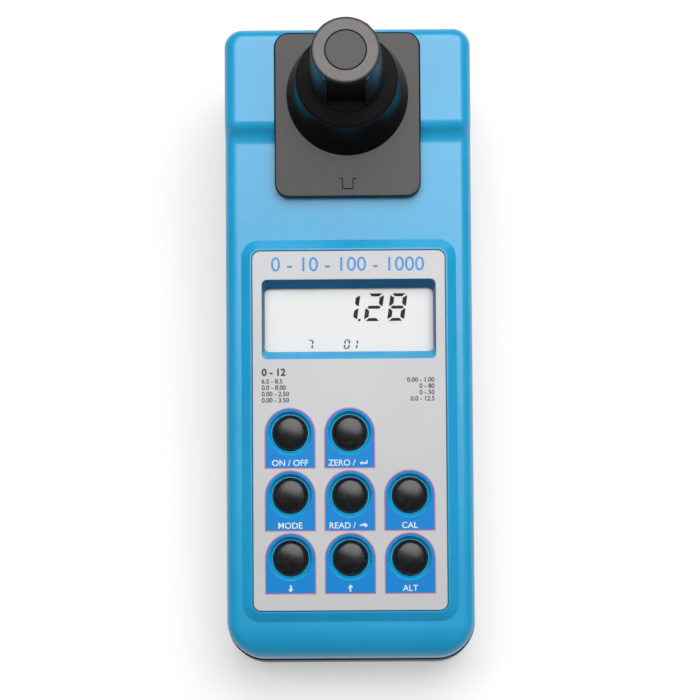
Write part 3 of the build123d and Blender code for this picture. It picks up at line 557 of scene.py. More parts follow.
class Finishes(Enum):
    """Every finish of the meter, each with its material slot."""

    UPPER_CASE = ("upper_case", MouldedPlastic(
        "upper_case_blue", srgb(20, 147, 194), srgb(26, 152, 199), 0.27, gloss=0.62,
    ))
    # Lighter, glossier blue than the case: a painted highlight on the beads round the key holes.
    CASE_EDGE_PAINTED_HIGHLIGHT = ("upper_case", MouldedPlastic(
        "upper_case_edge_painted_highlight", srgb(96, 178, 214), srgb(106, 186, 220), 0.24,
    ))
    # Dark blue that paints the shade on the display recess's upper wall.
    MOUTH_PAINTED_SHADE = ("upper_case", MouldedPlastic(
        "mouth_painted_shade_blue", srgb(0, 86, 132), srgb(2, 92, 138), 0.3, gloss=0.15,
    ))
    # Lighter blue than the case: painted light in the shade of the well walls.
    WELL_PAINTED_LIGHT = ("upper_case", MouldedPlastic(
        "well_painted_light_blue", srgb(0, 168, 228), srgb(4, 173, 232), 0.35, gloss=0.3,
    ))
    LOWER_CASE = ("lower_case", MouldedPlastic("lower_case_slate", srgb(30, 37, 50), srgb(38, 46, 60), 0.42))
    SEAL = ("seal_rubber", Rubber("seal_rubber_black", srgb(20, 20, 22)))
    STEEL = ("screw_steel", Metal("screw_steel_plated", srgb(190, 192, 196)))
    FOOT = ("foot_rubber", Rubber("foot_rubber_grey", srgb(52, 53, 56), 0.6))
    CONTACT = ("contact_nickel", Metal("contact_nickel_plated", srgb(205, 200, 188), 0.22))
    PLATE = ("plate_plastic", TexturedPlastic(
        "plate_satin_black", srgb(40, 36, 34), srgb(47, 43, 41), 0.4, 3600.0, 0.2,
    ))
    # Dark line of painted shade round the plate's edge.
    PLATE_PAINTED_SHADE = ("plate_plastic", PolishedPlastic("plate_edge_painted_shade", srgb(6, 16, 30), 0.8, 0.05))
    COLLAR = ("collar_plastic", PolishedPlastic(
        "collar_gloss_black", srgb(5, 5, 6), 0.2, matt_rim_of="cell_holder",
    ))
    # Near black that paints the shade under the plate arrow's shaft and barbs.
    ARROW_PAINTED_SHADE = ("collar_plastic", TexturedPlastic(
        "arrow_painted_shade_black", srgb(8, 8, 9), srgb(15, 15, 17), 0.8, 2300.0, 0.3, 0.25,
    ))
    LAMP = ("lamp_resin", ClearPlastic("lamp_resin_clear", srgb(238, 240, 244), 0.3))
    LENS = ("clear_lens", ClearPlastic("lens_clear", srgb(245, 247, 250)))
    GLASS = ("vial_glass", ClearPlastic("vial_glass_clear", srgb(232, 242, 240), 0.05, 1.5))
    LINER = ("liner", Rubber("liner_white", srgb(226, 226, 220), 0.5))
    CAP = ("cap_plastic", PolishedPlastic("cap_gloss_black", srgb(5, 5, 6), 0.2))
    CAP_GRAIN = ("cap_plastic", TexturedPlastic(
        "cap_grained_black", srgb(8, 8, 9), srgb(15, 15, 17), 0.75, 2300.0, 0.5, 0.25,
    ))
    CAP_TOP = ("cap_plastic", KnobTop("cap_top_satin", srgb(62, 60, 61), srgb(104, 99, 98)))
    # Lighter grey of painted highlight along the edges of the knob's flats.
    CAP_PAINTED_HIGHLIGHT = ("cap_plastic", PolishedPlastic("cap_painted_highlight_line", srgb(88, 98, 108), 0.3))
    SHEET = ("panel_sheet", PrintedFilm("panel_sheet_grey", srgb(189, 189, 190)))
    # Dark blue line of painted shade round the sheet's edge.
    SHEET_PAINTED_SHADE = ("panel_sheet", PrintedFilm("sheet_edge_painted_shade", srgb(30, 84, 122), 0.5, gloss=0.2))
    ARCH_INK = ("panel_sheet", PrintedFilm("ink_blue", srgb(0, 124, 198), 0.4, gloss=0.25))
    LINE_INK = ("panel_sheet", PrintedFilm("ink_rose", srgb(214, 116, 118), 0.4))
    WHITE_INK = ("panel_sheet", PrintedFilm("ink_white", srgb(206, 226, 240), 0.4))
    DARK_INK = ("panel_sheet", PrintedFilm("ink_dark", srgb(50, 50, 54), 0.5, gloss=0.25))
    RULE_INK = ("panel_sheet", PrintedFilm("ink_pale_blue", srgb(72, 138, 200), 0.4, gloss=0.25))
    WINDOW = ("window_clear", ClearPlastic("window_clear_sheet", srgb(252, 252, 252), 0.0, 1.2, 0.02))
    LCD = ("lcd", PrintedFilm("lcd_reflective", srgb(229, 229, 228), 0.55, 1800.0, 0.2))
    LCD_INK = ("lcd", PrintedFilm("lcd_segment", srgb(8, 8, 9), 0.7, gloss=0.1))
    INNER = ("inner_plastic", MouldedPlastic(
        "inner_plastic_black", srgb(32, 32, 35), srgb(40, 40, 43), 0.45,
    ))
    STRIP = ("strip_rubber", Rubber("strip_rubber_pink", srgb(214, 160, 158), 0.5))
    MAT = ("mat_rubber", Rubber("mat_rubber_grey", srgb(96, 98, 102), 0.5))
    KEY = ("key_rubber", Rubber("key_rubber_black", srgb(11, 11, 13), 0.27))
    CIRCUIT_BOARD = ("circuit_board", MouldedPlastic(
        "circuit_board_green", srgb(20, 84, 52), srgb(26, 98, 60), 0.34, 1500.0, 0.1,
    ))
    CHIP = ("chip_resin", MouldedPlastic("chip_resin_black", srgb(28, 28, 30), srgb(36, 36, 38), 0.55))
    RIBBON = ("ribbon", Rubber("ribbon_grey", srgb(176, 180, 186), 0.5))
    CELL = ("cell_jacket", Metal("cell_jacket_bronze", srgb(176, 126, 74), 0.3, (12.0, 1.0, 12.0)))

    def __init__(self, slot: str, recipe: Recipe) -> None:
        """Keep what a finish is made of.

        Args:
            slot: The record's material slot.
            recipe: What makes the material.
        """
        self.slot = slot
        self.recipe = recipe
        self.made: Optional[bpy.types.Material] = None

    def material(self) -> bpy.types.Material:
        """The material, made at its first use.

        Returns:
            The material.
        """
        if self.made is None:
            self.made = self.recipe.build()
        return self.made


NODE_FINISH = {
    "bottom_shell": Finishes.LOWER_CASE,
    "top_shell": Finishes.UPPER_CASE,
    "case_gasket": Finishes.SEAL,
    "case_screws": Finishes.STEEL,
    "rubber_feet": Finishes.FOOT,
    "battery_door": Finishes.LOWER_CASE,
    "contact_plates": Finishes.CONTACT,
    "contact_leaves": Finishes.CONTACT,
    "holder_plate": Finishes.PLATE,
    "cell_holder": Finishes.COLLAR,
    "lamp_led": Finishes.LAMP,
    "beam_lens": Finishes.LENS,
    "cuvette_vial": Finishes.GLASS,
    "cap_liner": Finishes.LINER,
    "cuvette_cap": Finishes.CAP,
    "panel_overlay": Finishes.SHEET,
    "display_window": Finishes.WINDOW,
    "lcd_glass": Finishes.LCD,
    "lcd_frame": Finishes.INNER,
    "lcd_connectors": Finishes.STRIP,
    "keypad_mat": Finishes.MAT,
    "main_board": Finishes.CIRCUIT_BOARD,
    "board_chips": Finishes.CHIP,
    "board_screws": Finishes.STEEL,
    "ribbon_cable": Finishes.RIBBON,
    "dc_jack": Finishes.INNER,
    "lamp_board": Finishes.CIRCUIT_BOARD,
    "straight_board": Finishes.CIRCUIT_BOARD,
    "scatter_board": Finishes.CIRCUIT_BOARD,
    "straight_detector": Finishes.CHIP,
    "scatter_detector": Finishes.CHIP,
}


@dataclass(frozen=True)
class Face:
    """Frame of the sloping front, with places in millimetres."""

    origin: Vector

    SHEET_CENTRE: ClassVar[Point3] = (0.0, -26.55, -0.3)

    @classmethod
    def of_sheet(cls) -> "Face":
        """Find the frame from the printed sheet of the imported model.

        Returns:
            The frame.
        """
        low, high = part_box("panel_overlay")
        middle = (low + high) / 2
        return cls(middle - cls.turned(*cls.SHEET_CENTRE))

    @staticmethod
    def turned(x: Number, s: Number, n: Number) -> Vector:
        """Turn a step in face millimetres into one in metres of the meter's frame."""
        lean, rise = math.sin(FACE_SLOPE), math.cos(FACE_SLOPE)
        return Vector((x, s * rise - n * lean, s * lean + n * rise)) * MM

    def lay(self, mesh: bmesh.types.BMesh) -> None:
        """Move a mesh drawn in face millimetres to its place on the meter."""
        turn = Matrix.Rotation(FACE_SLOPE, 4, "X") @ Matrix.Scale(MM, 4)
        bmesh.ops.transform(mesh, matrix=Matrix.Translation(self.origin) @ turn, verts=mesh.verts)


@dataclass
class Layout:
    """Where the keys are on the face, in millimetres."""

    column_pitch: float = 19.85
    row_pitch: float = 20.8
    first_row_s: float = -27.6
    places: dict[str, tuple[int, int]] = field(default_factory=lambda: {
        "power": (-1, 0), "zero": (0, 0), "mode": (-1, 1), "read": (0, 1),
        "cal": (1, 1), "down": (-1, 2), "up": (0, 2), "alt": (1, 2),
    })

    def spot(self, key: str) -> Point:
        """Centre of a key."""
        column, row = self.places[key]
        return column * self.column_pitch, self.first_row_s - row * self.row_pitch


def hosted(
    name: str,
    mesh: bmesh.types.BMesh,
    finish: Union[Finishes, Sequence[Finishes]],
    body: str = "meter",
    sharp: Optional[float] = 30.0,
) -> bpy.types.Object:
    """Make a finished object that rides on a body of the CAD model.

    Args:
        name: Name of the piece.
        mesh: Its shape, in the meter's frame, which is used up.
        finish: Its finish and slot, or several in the order of its faces' material numbers.
        body: The body that it moves with.
        sharp: Angle in degrees beyond which an edge stays sharp, or None for flat faces.

    Returns:
        The object.
    """
    data = bpy.data.meshes.new(name)
    mesh.to_mesh(data)
    mesh.free()
    made = bpy.data.objects.new(name, data)
    bpy.context.scene.collection.objects.link(made)
    finishes = [finish] if isinstance(finish, Finishes) else finish
    for each in finishes:
        data.materials.append(each.material())
    if sharp is not None:
        data.shade_smooth()
        data.set_sharp_from_angle(angle=math.radians(sharp))
    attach(made, body)
    LOG.info("piece %s on %s", name, body)
    return made


def merged_copy(node: bpy.types.Object) -> bmesh.types.BMesh:
    """Copy a CAD node's mesh with its points joined and its flat faces whole.

    Args:
        node: The CAD node.

    Returns:
        The copy.
    """
    mesh = bmesh.new()
    mesh.from_mesh(node.data)
    bmesh.ops.remove_doubles(mesh, verts=mesh.verts, dist=WELD)
    bmesh.ops.dissolve_limit(mesh, angle_limit=FLAT_WITHIN, verts=mesh.verts, edges=mesh.edges)
    return mesh


def soften(
    mesh: bmesh.types.BMesh, least: float, width: float, where: Callable[[Vector], bool]
) -> list[bmesh.types.BMFace]:
    """Round the sharp edges of a mesh.

    Args:
        mesh: The mesh.
        least: Smallest angle in degrees between two faces that counts as sharp.
        width: Width of the rounding in metres.
        where: Tells by its middle whether an edge is rounded.

    Returns:
        The faces of the rounding.
    """
    sharp = []
    for edge in mesh.edges:
        middle = (edge.verts[0].co + edge.verts[1].co) / 2
        if edge.is_manifold and edge.calc_face_angle() > math.radians(least) and where(middle):
            sharp.append(edge)
    made = bmesh.ops.bevel(
        mesh, geom=sharp, offset=width, segments=3, profile=0.5, affect="EDGES", material=-1,
        clamp_overlap=True,
    )
    return made["faces"]


def even_normals(piece: bpy.types.Object) -> None:
    """Keep the flat faces of a softened piece flat in the light."""
    weighted = piece.modifiers.new("even_normals", "WEIGHTED_NORMAL")
    weighted.keep_sharp = True


def add_outline(mesh: bmesh.types.BMesh, points: Iterable[Point], level: float) -> None:
    """Add one flat face with an outline, its corners anticlockwise, at a level over the face."""
    mesh.faces.new([mesh.verts.new((x, y, level)) for x, y in points])


def add_strip(
    mesh: bmesh.types.BMesh,
    inner: Sequence[Point],
    outer: Sequence[Point],
    level: float,
    outer_level: Optional[float] = None,
    closed: bool = True,
) -> None:
    """Add a strip of faces between two outlines of as many points.

    Args:
        mesh: The mesh that takes the strip.
        inner: The inner outline, anticlockwise.
        outer: The outer outline.
        level: Height over the face in millimetres.
        outer_level: Height of the outer outline where it has its own.
        closed: Whether the strip runs on from its last points to its first.
    """
    rise = level if outer_level is None else outer_level
    inside = [mesh.verts.new((x, y, level)) for x, y in inner]
    outside = [mesh.verts.new((x, y, rise)) for x, y in outer]
    count = len(inside)
    for index in range(count if closed else count - 1):
        after = (index + 1) % count
        mesh.faces.new((outside[index], outside[after], inside[after], inside[index]))


def arc(centre: Point, radius: float, start: float, sweep: float, steps: int) -> list[Point]:
    """Points along an arc, both of its ends among them.

    Args:
        centre: Its centre.
        radius: Its radius.
        start: Direction of its first point, in radians.
        sweep: Angle that it covers, in radians.
        steps: How many chords it has.

    Returns:
        The points.
    """
    turns = [start + sweep * step / steps for step in range(steps + 1)]
    return [(centre[0] + radius * math.cos(turn), centre[1] + radius * math.sin(turn)) for turn in turns]


def shifted(points: Iterable[Point], x: float, y: float) -> list[Point]:
    """Move an outline."""
    return [(px + x, py + y) for px, py in points]


def flat_piece(name: str, mesh: bmesh.types.BMesh, face: Face, finish: Finishes) -> bpy.types.Object:
    """Lay a flat mesh on the front as one piece.

    Args:
        name: Name of the piece.
        mesh: Its shape, in face millimetres.
        face: The frame of the front.
        finish: Its finish.

    Returns:
        The piece.
    """
    bmesh.ops.triangulate(mesh, faces=[each for each in mesh.faces if len(each.verts) > 4])
    face.lay(mesh)
    return hosted(name, mesh, finish, sharp=None)


class Lettering:
    """Plain printed characters as flat meshes."""

    CURVE_STEPS = 6

    def __init__(self) -> None:
        """Measure a capital of the built-in letters once."""
        self.capital = self._extent(self._mesh("H", 0.0))[2]

    @staticmethod
    def _extent(mesh: bpy.types.Mesh) -> Point3:
        """Left edge, width and height of a flat text mesh.

        Args:
            mesh: The mesh.

        Returns:
            The three measures.
        """
        xs = [vertex.co.x for vertex in mesh.vertices]
        ys = [vertex.co.y for vertex in mesh.vertices]
        return min(xs), max(xs) - min(xs), max(ys) - min(ys)

    def _mesh(self, text: str, weight: float) -> bpy.types.Mesh:
        """Turn a line of text of size 1 into a flat mesh.

        Args:
            text: The line.
            weight: How much bolder the strokes are.

        Returns:
            The mesh.
        """
        curve = bpy.data.curves.new("line_of_text", "FONT")
        curve.body = text
        curve.offset = weight
        curve.resolution_u = self.CURVE_STEPS
        line = bpy.data.objects.new("line_of_text", curve)
        bpy.context.scene.collection.objects.link(line)
        bpy.context.view_layer.update()
        evaluated = line.evaluated_get(bpy.context.evaluated_depsgraph_get())
        mesh = bpy.data.meshes.new_from_object(evaluated)
        bpy.data.objects.remove(line)
        bpy.data.curves.remove(curve)
        return mesh

    def add(
        self,
        mesh: bmesh.types.BMesh,
        text: str,
        anchor: Point3,
        height: float,
        align: float = 0.5,
        weight: float = 0.009,
    ) -> None:
        """Add one line of text to a mesh in face millimetres.

        Args:
            mesh: The mesh that takes the characters.
            text: The line.
            anchor: Point on its baseline, with its height over the face.
            height: Height of a capital.
            align: Share of the width that lies left of the anchor.
            weight: How much bolder the strokes are.
        """
        line = self._mesh(text, weight)
        low, width, _ = self._extent(line)
        scale = height / self.capital
        left = anchor[0] - (width * align + low) * scale
        place = Matrix.Translation((left, anchor[1], anchor[2]))
        line.transform(place @ Matrix.Diagonal((scale, scale, scale, 1.0)))
        mesh.from_mesh(line)
        bpy.data.meshes.remove(line)


@dataclass(frozen=True)
class Legend:
    """What is printed under a key: a word, an arrow, or a word with an arrow after it."""

    word: str = ""
    arrow: Sequence[Point] = ()


RIGHT_ARROW = (
    (-1.35, -0.2), (0.35, -0.2), (0.35, -0.78), (1.35, 0.0), (0.35, 0.78), (0.35, 0.2), (-1.35, 0.2),
)
UP_ARROW = (
    (-0.2, -1.2), (0.2, -1.2), (0.2, 0.25), (0.82, 0.25), (0.0, 1.25), (-0.82, 0.25), (-0.2, 0.25),
)
DOWN_ARROW = tuple((x, -y) for x, y in reversed(UP_ARROW))
RETURN_ARROW = (
    (-1.35, -0.2), (-0.5, -0.8), (-0.5, -0.4), (1.3, -0.4), (1.3, 0.75), (0.9, 0.75), (0.9, 0.0),
    (-0.5, 0.0), (-0.5, 0.4),
)

LEGENDS = {
    "power": Legend("ON / OFF"),
    "zero": Legend("ZERO /", RETURN_ARROW),
    "mode": Legend("MODE"),
    "read": Legend("READ /", RIGHT_ARROW),
    "cal": Legend("CAL"),
    "down": Legend(arrow=DOWN_ARROW),
    "up": Legend(arrow=UP_ARROW),
    "alt": Legend("ALT"),
}


@dataclass
class KeyPrint:
    """The printed arch, its outline and the legend round every key."""

    face: Face
    layout: Layout
    letters: Lettering
    arch_r: float = 8.25
    hole_r: float = 7.32
    foot: float = 11.55
    line: float = 0.3
    arch_steps: int = 48
    side_steps: int = 8
    foot_steps: int = 12
    ink_level: float = -0.07
    line_level: float = -0.08
    legend_level: float = -0.05
    capital: float = 1.97
    baseline: float = -10.85
    word_end: float = 1.9
    arrow_x: float = 4.6

    def _outline(self, grow: float) -> list[Point]:
        """Arch with straight sides and foot, one point per direction from the key's centre.

        Args:
            grow: How far the outline stands outside the arch.

        Returns:
            The outline, anticlockwise from the right.
        """
        half, foot = self.arch_r + grow, self.foot + grow
        corner = math.atan2(foot, half)
        stretches = (
            (math.pi, self.arch_steps), (corner, self.side_steps),
            (math.pi - 2 * corner, self.foot_steps), (corner, self.side_steps),
        )
        points, start = [], 0.0
        for sweep, steps in stretches:
            for step in range(steps):
                turn = start + sweep * step / steps
                across, up = math.cos(turn), math.sin(turn)
                reach = half if turn < math.pi else 1 / max(abs(across) / half, abs(up) / foot)
                points.append((across * reach, up * reach))
            start += sweep
        return points

    def _hole(self) -> list[Point]:
        """Round hole of the arch, with its points in the directions of the outline's points.

        Returns:
            The hole, anticlockwise from the right.
        """
        points = []
        for x, y in self._outline(0.0):
            share = self.hole_r / math.hypot(x, y)
            points.append((x * share, y * share))
        return points

    def _add_legend(self, mesh: bmesh.types.BMesh, legend: Legend, x: float, base: float) -> None:
        """Add the legend of one key.

        Args:
            mesh: The mesh that takes it.
            legend: The legend.
            x: Place of the key across the face.
            base: Its baseline along the face.
        """
        both = bool(legend.word and legend.arrow)
        if legend.word:
            anchor = (x + self.word_end if both else x, base, self.legend_level)
            self.letters.add(mesh, legend.word, anchor, self.capital, align=1.0 if both else 0.5)
        if legend.arrow:
            place = (x + self.arrow_x if both else x, base + self.capital / 2)
            add_outline(mesh, shifted(legend.arrow, *place), self.legend_level)

    def build(self) -> None:
        """Print every arch, outline and legend."""
        arches, lines, legends = bmesh.new(), bmesh.new(), bmesh.new()
        arch, hole, edge = self._outline(0.0), self._hole(), self._outline(self.line)
        for key, legend in LEGENDS.items():
            x, s = self.layout.spot(key)
            add_strip(arches, shifted(hole, x, s), shifted(arch, x, s), self.ink_level)
            add_strip(lines, shifted(arch, x, s), shifted(edge, x, s), self.line_level)
            self._add_legend(legends, legend, x, s + self.baseline)
        flat_piece("key_arches", arches, self.face, Finishes.ARCH_INK)
        flat_piece("key_outlines", lines, self.face, Finishes.LINE_INK)
        flat_piece("key_legends", legends, self.face, Finishes.WHITE_INK)


@dataclass(frozen=True)
class DigitForm:
    """Form of seven-bar digits, upright and in millimetres; shares are of a bar's width."""

    width: float
    height: float
    thick: float
    gap_share: float = 0.42
    level_share: float = 0.72
    tip_share: float = 0.8
    end_trim: float = 0.4
    side_trim: float = 0.6

    @property
    def gap(self) -> float:
        """Space left free where bars meet."""
        return self.thick * self.gap_share

    def top(self) -> list[Point]:
        """Outline of the top bar.

        Returns:
            The outline, anticlockwise.
        """
        end, low = self.thick + self.gap * self.end_trim, self.height - self.thick * self.level_share
        return [
            (self.gap, self.height), (end, low), (self.width - end, low),
            (self.width - self.gap, self.height),
        ]

    def side(self) -> list[Point]:
        """Outline of the upper left bar.

        Returns:
            The outline, anticlockwise.
        """
        middle, half = self.height / 2, self.thick / 2
        return [
            (0.0, self.height - self.gap), (0.0, middle + self.gap * self.side_trim),
            (half, middle + self.gap), (self.thick, middle + half + self.gap),
            (self.thick, self.height - self.thick),
        ]

    def centre(self) -> list[Point]:
        """Outline of the centre bar.

        Returns:
            The outline, anticlockwise.
        """
        middle, half, tip = self.height / 2, self.thick * self.level_share / 2, self.thick * self.tip_share
        return [
            (self.gap, middle), (tip, middle - half), (self.width - tip, middle - half),
            (self.width - self.gap, middle), (self.width - tip, middle + half), (tip, middle + half),
        ]


class Bar(Enum):
    """The seven bars of a digit: what draws each, and whether it is mirrored across and upright."""

    A = (DigitForm.top, False, False)
    B = (DigitForm.side, True, False)
    C = (DigitForm.side, True, True)
    D = (DigitForm.top, False, True)
    E = (DigitForm.side, False, True)
    F = (DigitForm.side, False, False)
    G = (DigitForm.centre, False, False)

    def outline(self, form: DigitForm) -> list[Point]:
        """Outline of this bar.

        Args:
            form: The form of the digits.

        Returns:
            The outline, anticlockwise.
        """
        draw, across, upright = self.value
        points = draw(form)
        if across:
            points = [(form.width - x, y) for x, y in reversed(points)]
        if upright:
            points = [(x, form.height - y) for x, y in reversed(points)]
        return points


@dataclass(frozen=True)
class DigitRow:
    """One row of digits on the display, with the left edge of each."""

    digits: str
    form: DigitForm
    base: float
    lefts: Sequence[float]


@dataclass
class Display:
    """Display glass, and the reading on it with its bars drawn as on a liquid crystal glass."""

    face: Face
    glass_front: float = -5.08
    level: float = -5.04
    slant: float = 0.14
    large: DigitRow = DigitRow("128", DigitForm(5.7, 9.3, 1.42), 9.95, (-3.05, 4.95, 12.75))
    small: DigitRow = DigitRow("701", DigitForm(1.9, 3.2, 0.5), 0.6, (-14.2, -1.9, 0.8))
    dot_left: float = 3.0
    dot: Sequence[Point] = ((0.0, 0.0), (0.85, 0.0), (0.95, 0.75), (0.1, 0.75))

    BARS: ClassVar[dict[str, str]] = {"0": "ABCDEF", "1": "BC", "2": "ABGED", "7": "ABC", "8": "ABCDEFG"}

    def _add_row(self, mesh: bmesh.types.BMesh, row: DigitRow) -> None:
        """Add the bars of a row of digits.

        Args:
            mesh: The mesh that takes the bars.
            row: The row.
        """
        for digit, left in zip(row.digits, row.lefts):
            for name in self.BARS[digit]:
                leaning = [(x + y * self.slant, y) for x, y in Bar[name].outline(row.form)]
                add_outline(mesh, shifted(leaning, left, row.base), self.level)

    def glass(self, node: bpy.types.Object) -> None:
        """Make the glass a little thinner than its CAD block, so that the bars show before it.

        Args:
            node: The CAD block.
        """
        mesh = merged_copy(node)
        away = self.face.turned(0.0, 0.0, 1.0).normalized()
        front = self.face.origin + self.face.turned(0.0, 0.0, self.glass_front)
        bmesh.ops.bisect_plane(
            mesh, geom=[*mesh.verts, *mesh.edges, *mesh.faces], dist=WELD, plane_co=front,
            plane_no=away, clear_outer=True,
        )
        bmesh.ops.holes_fill(mesh, edges=[edge for edge in mesh.edges if edge.is_boundary])
        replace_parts(hosted("display_glass", mesh, Finishes.LCD), "lcd_glass")

    def reading(self) -> None:
        """Draw the reading with its point, and the two small messages."""
        mesh = bmesh.new()
        self._add_row(mesh, self.large)
        add_outline(mesh, shifted(self.dot, self.dot_left, self.large.base), self.level)
        self._add_row(mesh, self.small)
        flat_piece("lcd_reading", mesh, self.face, Finishes.LCD_INK)


@dataclass
class SheetPrint:
    """Plain numbers printed on the front sheet."""

    face: Face
    letters: Lettering
    level: float = -0.07
    heading: str = "0 - 10 - 100 - 1000"
    heading_place: Point = (-0.3, 26.5)
    heading_capital: float = 4.6
    heading_weight: float = 0.006
    title: str = "0 - 12"
    title_s: float = -8.4
    title_capital: float = 2.3
    title_weight: float = 0.03
    left: Sequence[str] = ("6.5 - 8.5", "0.0 - 8.00", "0.00 - 2.50", "0.00 - 3.50")
    left_x: float = -29.2
    right: Sequence[str] = ("0.00 - 1.00", "0 - 80", "0 - 50", "0.0 - 12.5")
    right_x: float = 28.4
    right_rise: float = 0.3
    first_row_s: float = -11.0
    row_pitch: float = 2.1
    row_capital: float = 1.45
    row_weight: float = 0.02

    def build(self) -> None:
        """Print the heading, the title and the two lists."""
        heading, small = bmesh.new(), bmesh.new()
        anchor = (*self.heading_place, self.level)
        self.letters.add(heading, self.heading, anchor, self.heading_capital, weight=self.heading_weight)
        flat_piece("sheet_heading", heading, self.face, Finishes.RULE_INK)
        anchor = (self.left_x, self.title_s, self.level)
        self.letters.add(small, self.title, anchor, self.title_capital, 0.0, self.title_weight)
        for row, (left, right) in enumerate(zip(self.left, self.right)):
            base = self.first_row_s - row * self.row_pitch
            anchor = (self.left_x, base, self.level)
            self.letters.add(small, left, anchor, self.row_capital, 0.0, self.row_weight)
            anchor = (self.right_x, base + self.right_rise, self.level)
            self.letters.add(small, right, anchor, self.row_capital, 1.0, self.row_weight)
        flat_piece("sheet_numbers", small, self.face, Finishes.DARK_INK)


@dataclass
class KeyWells:
    """Each key's sloping well wall, lightened as painted light, and its hole's rounded rim, a painted
    highlight.
    """

    face: Face
    layout: Layout
    ring_r: float = 6.17
    ring_level: float = -2.04
    bead_r: float = 0.15
    bead_sides: int = 8
    wall: Sequence[Point] = ((7.26, -0.3), (6.2, -2.02))
    steps: int = 64
    sharp: float = 60.0

    def _spun(self, profile: Sequence[Point], closed: bool) -> bmesh.types.BMesh:
        """Spin a profile round every key.

        Args:
            profile: Its points, each with its distance from the key's axis and its level.
            closed: Whether its last point is joined to its first.

        Returns:
            The mesh in face millimetres.
        """
        mesh = bmesh.new()
        for key in self.layout.places:
            x, s = self.layout.spot(key)
            points = [mesh.verts.new((x + reach, s, level)) for reach, level in profile]
            first = 0 if closed else 1
            lines = [mesh.edges.new((points[at - 1], points[at])) for at in range(first, len(points))]
            bmesh.ops.spin(
                mesh, geom=[*points, *lines], cent=(x, s, 0.0), axis=(0.0, 0.0, 1.0), angle=math.tau,
                steps=self.steps, use_merge=True,
            )
        bmesh.ops.remove_doubles(mesh, verts=mesh.verts, dist=WELD_MM)
        return mesh

    def build(self) -> None:
        """Line the sloping walls in the painted light, and lay a bead with a painted highlight on every rim.
        """
        walls = self._spun(self.wall, closed=False)
        self.face.lay(walls)
        hosted("well_walls_painted_light", walls, Finishes.WELL_PAINTED_LIGHT, sharp=self.sharp)
        bead = arc((self.ring_r, self.ring_level), self.bead_r, 0.0, math.tau, self.bead_sides)
        rims = self._spun(bead[:-1], closed=True)
        bmesh.ops.recalc_face_normals(rims, faces=rims.faces)
        self.face.lay(rims)
        hosted("well_rims_painted_highlight", rims, Finishes.CASE_EDGE_PAINTED_HIGHLIGHT, sharp=self.sharp)


@dataclass(frozen=True)
class RoundedBox:
    """Box outline with round corners, even about the middle of the face."""

    half: float
    low: float
    high: float
    radius: float
    steps: int = 8

    def outline(self, margin: float = 0.0) -> list[Point]:
        """Outline with a margin taken off all round.

        Args:
            margin: The margin.

        Returns:
            The outline, anticlockwise from its lower right corner.
        """
        radius = self.radius - margin
        x, low, high = self.half - self.radius, self.low + self.radius, self.high - self.radius
        points = []
        for quarter, middle in enumerate(((x, low), (x, high), (-x, high), (-x, low))):
            points += arc(middle, radius, math.pi / 2 * (quarter - 1), math.pi / 2, self.steps)
        return points


@dataclass
class EdgeLines:
    """Fine dark lines along the edges of the plate and of the front sheet: painted shade at those edges."""

    face: Face
    plate: RoundedBox = RoundedBox(24.35, 51.1, 106.3, 4.7)
    plate_level: float = 2.62
    sheet: RoundedBox = RoundedBox(32.4, -86.6, 33.5, 2.8)
    sheet_level: float = -0.06
    line: float = 0.3

    def _draw(self, box: RoundedBox, level: float) -> bmesh.types.BMesh:
        """One closed line just inside an outline.

        Args:
            box: The outline.
            level: Its height over the face.

        Returns:
            The line in face millimetres.
        """
        mesh = bmesh.new()
        add_strip(mesh, box.outline(self.line), box.outline(), level)
        return mesh

    def build(self) -> None:
        """Draw both lines of painted shade."""
        flat_piece("plate_painted_shade_line", self._draw(self.plate, self.plate_level), self.face, Finishes.PLATE_PAINTED_SHADE)
        flat_piece("sheet_painted_shade_line", self._draw(self.sheet, self.sheet_level), self.face, Finishes.SHEET_PAINTED_SHADE)


@dataclass
class PlateArrow:
    """Dark line of painted shade round the foot and barbs of the plate's raised arrow."""

    face: Face
    level: float = 2.62
    low_s: float = 53.9
    length: float = 6.8
    shaft: float = 1.6
    barb: float = 2.8
    head: float = 3.4
    line: float = 0.3

    def _outline(self, grow: float) -> list[Point]:
        """Foot and barbs of the arrow, from its left barb to its right one.

        Args:
            grow: How far the outline stands outside the arrow.

        Returns:
            The outline, open towards the tip.
        """
        neck = self.low_s + self.length - self.head - grow
        shaft = self.shaft + grow
        left = [(-self.barb - grow, neck), (-shaft, neck), (-shaft, self.low_s - grow)]
        return left + [(-x, s) for x, s in reversed(left)]

    def build(self) -> None:
        """Draw the painted shade line."""
        mesh = bmesh.new()
        add_strip(mesh, self._outline(0.0), self._outline(self.line), self.level, closed=False)
        flat_piece("arrow_painted_shade_line", mesh, self.face, Finishes.ARROW_PAINTED_SHADE)


@dataclass
class Mouth:
    """Dark glossy liner over the upper wall and sides of the display recess, which paints its shade."""

    face: Face
    centre_s: float = 10.4
    top_half: Point = (29.1, 13.35)
    top_level: float = -0.12
    low_half: Point = (28.4, 10.7)
    low_level: float = -3.98
    corner: float = 1.8
    lift: float = 0.14
    steps: int = 8
    sharp: float = 50.0

    def _edge(self, half: Point) -> list[Point]:
        """Upper half of the recess's outline, from the right side over the top to the left.

        Args:
            half: Half of the recess's width and height at that level.

        Returns:
            The points.
        """
        x, s = half[0] - self.lift, half[1] - self.lift
        low = self.centre_s - s + self.corner
        top = self.centre_s + s - self.corner
        right = arc((x - self.corner, top), self.corner, 0.0, math.pi / 2, self.steps)
        left = arc((self.corner - x, top), self.corner, math.pi / 2, math.pi / 2, self.steps)
        return [(x, low), *right, *left, (-x, low)]

    def build(self) -> None:
        """Line the wall from the sheet down to the window, as painted shade."""
        mesh = bmesh.new()
        low, top = self._edge(self.low_half), self._edge(self.top_half)
        add_strip(mesh, low, top, self.low_level, self.top_level, closed=False)
        self.face.lay(mesh)
        hosted("mouth_wall_painted_shade", mesh, Finishes.MOUTH_PAINTED_SHADE, sharp=self.sharp)


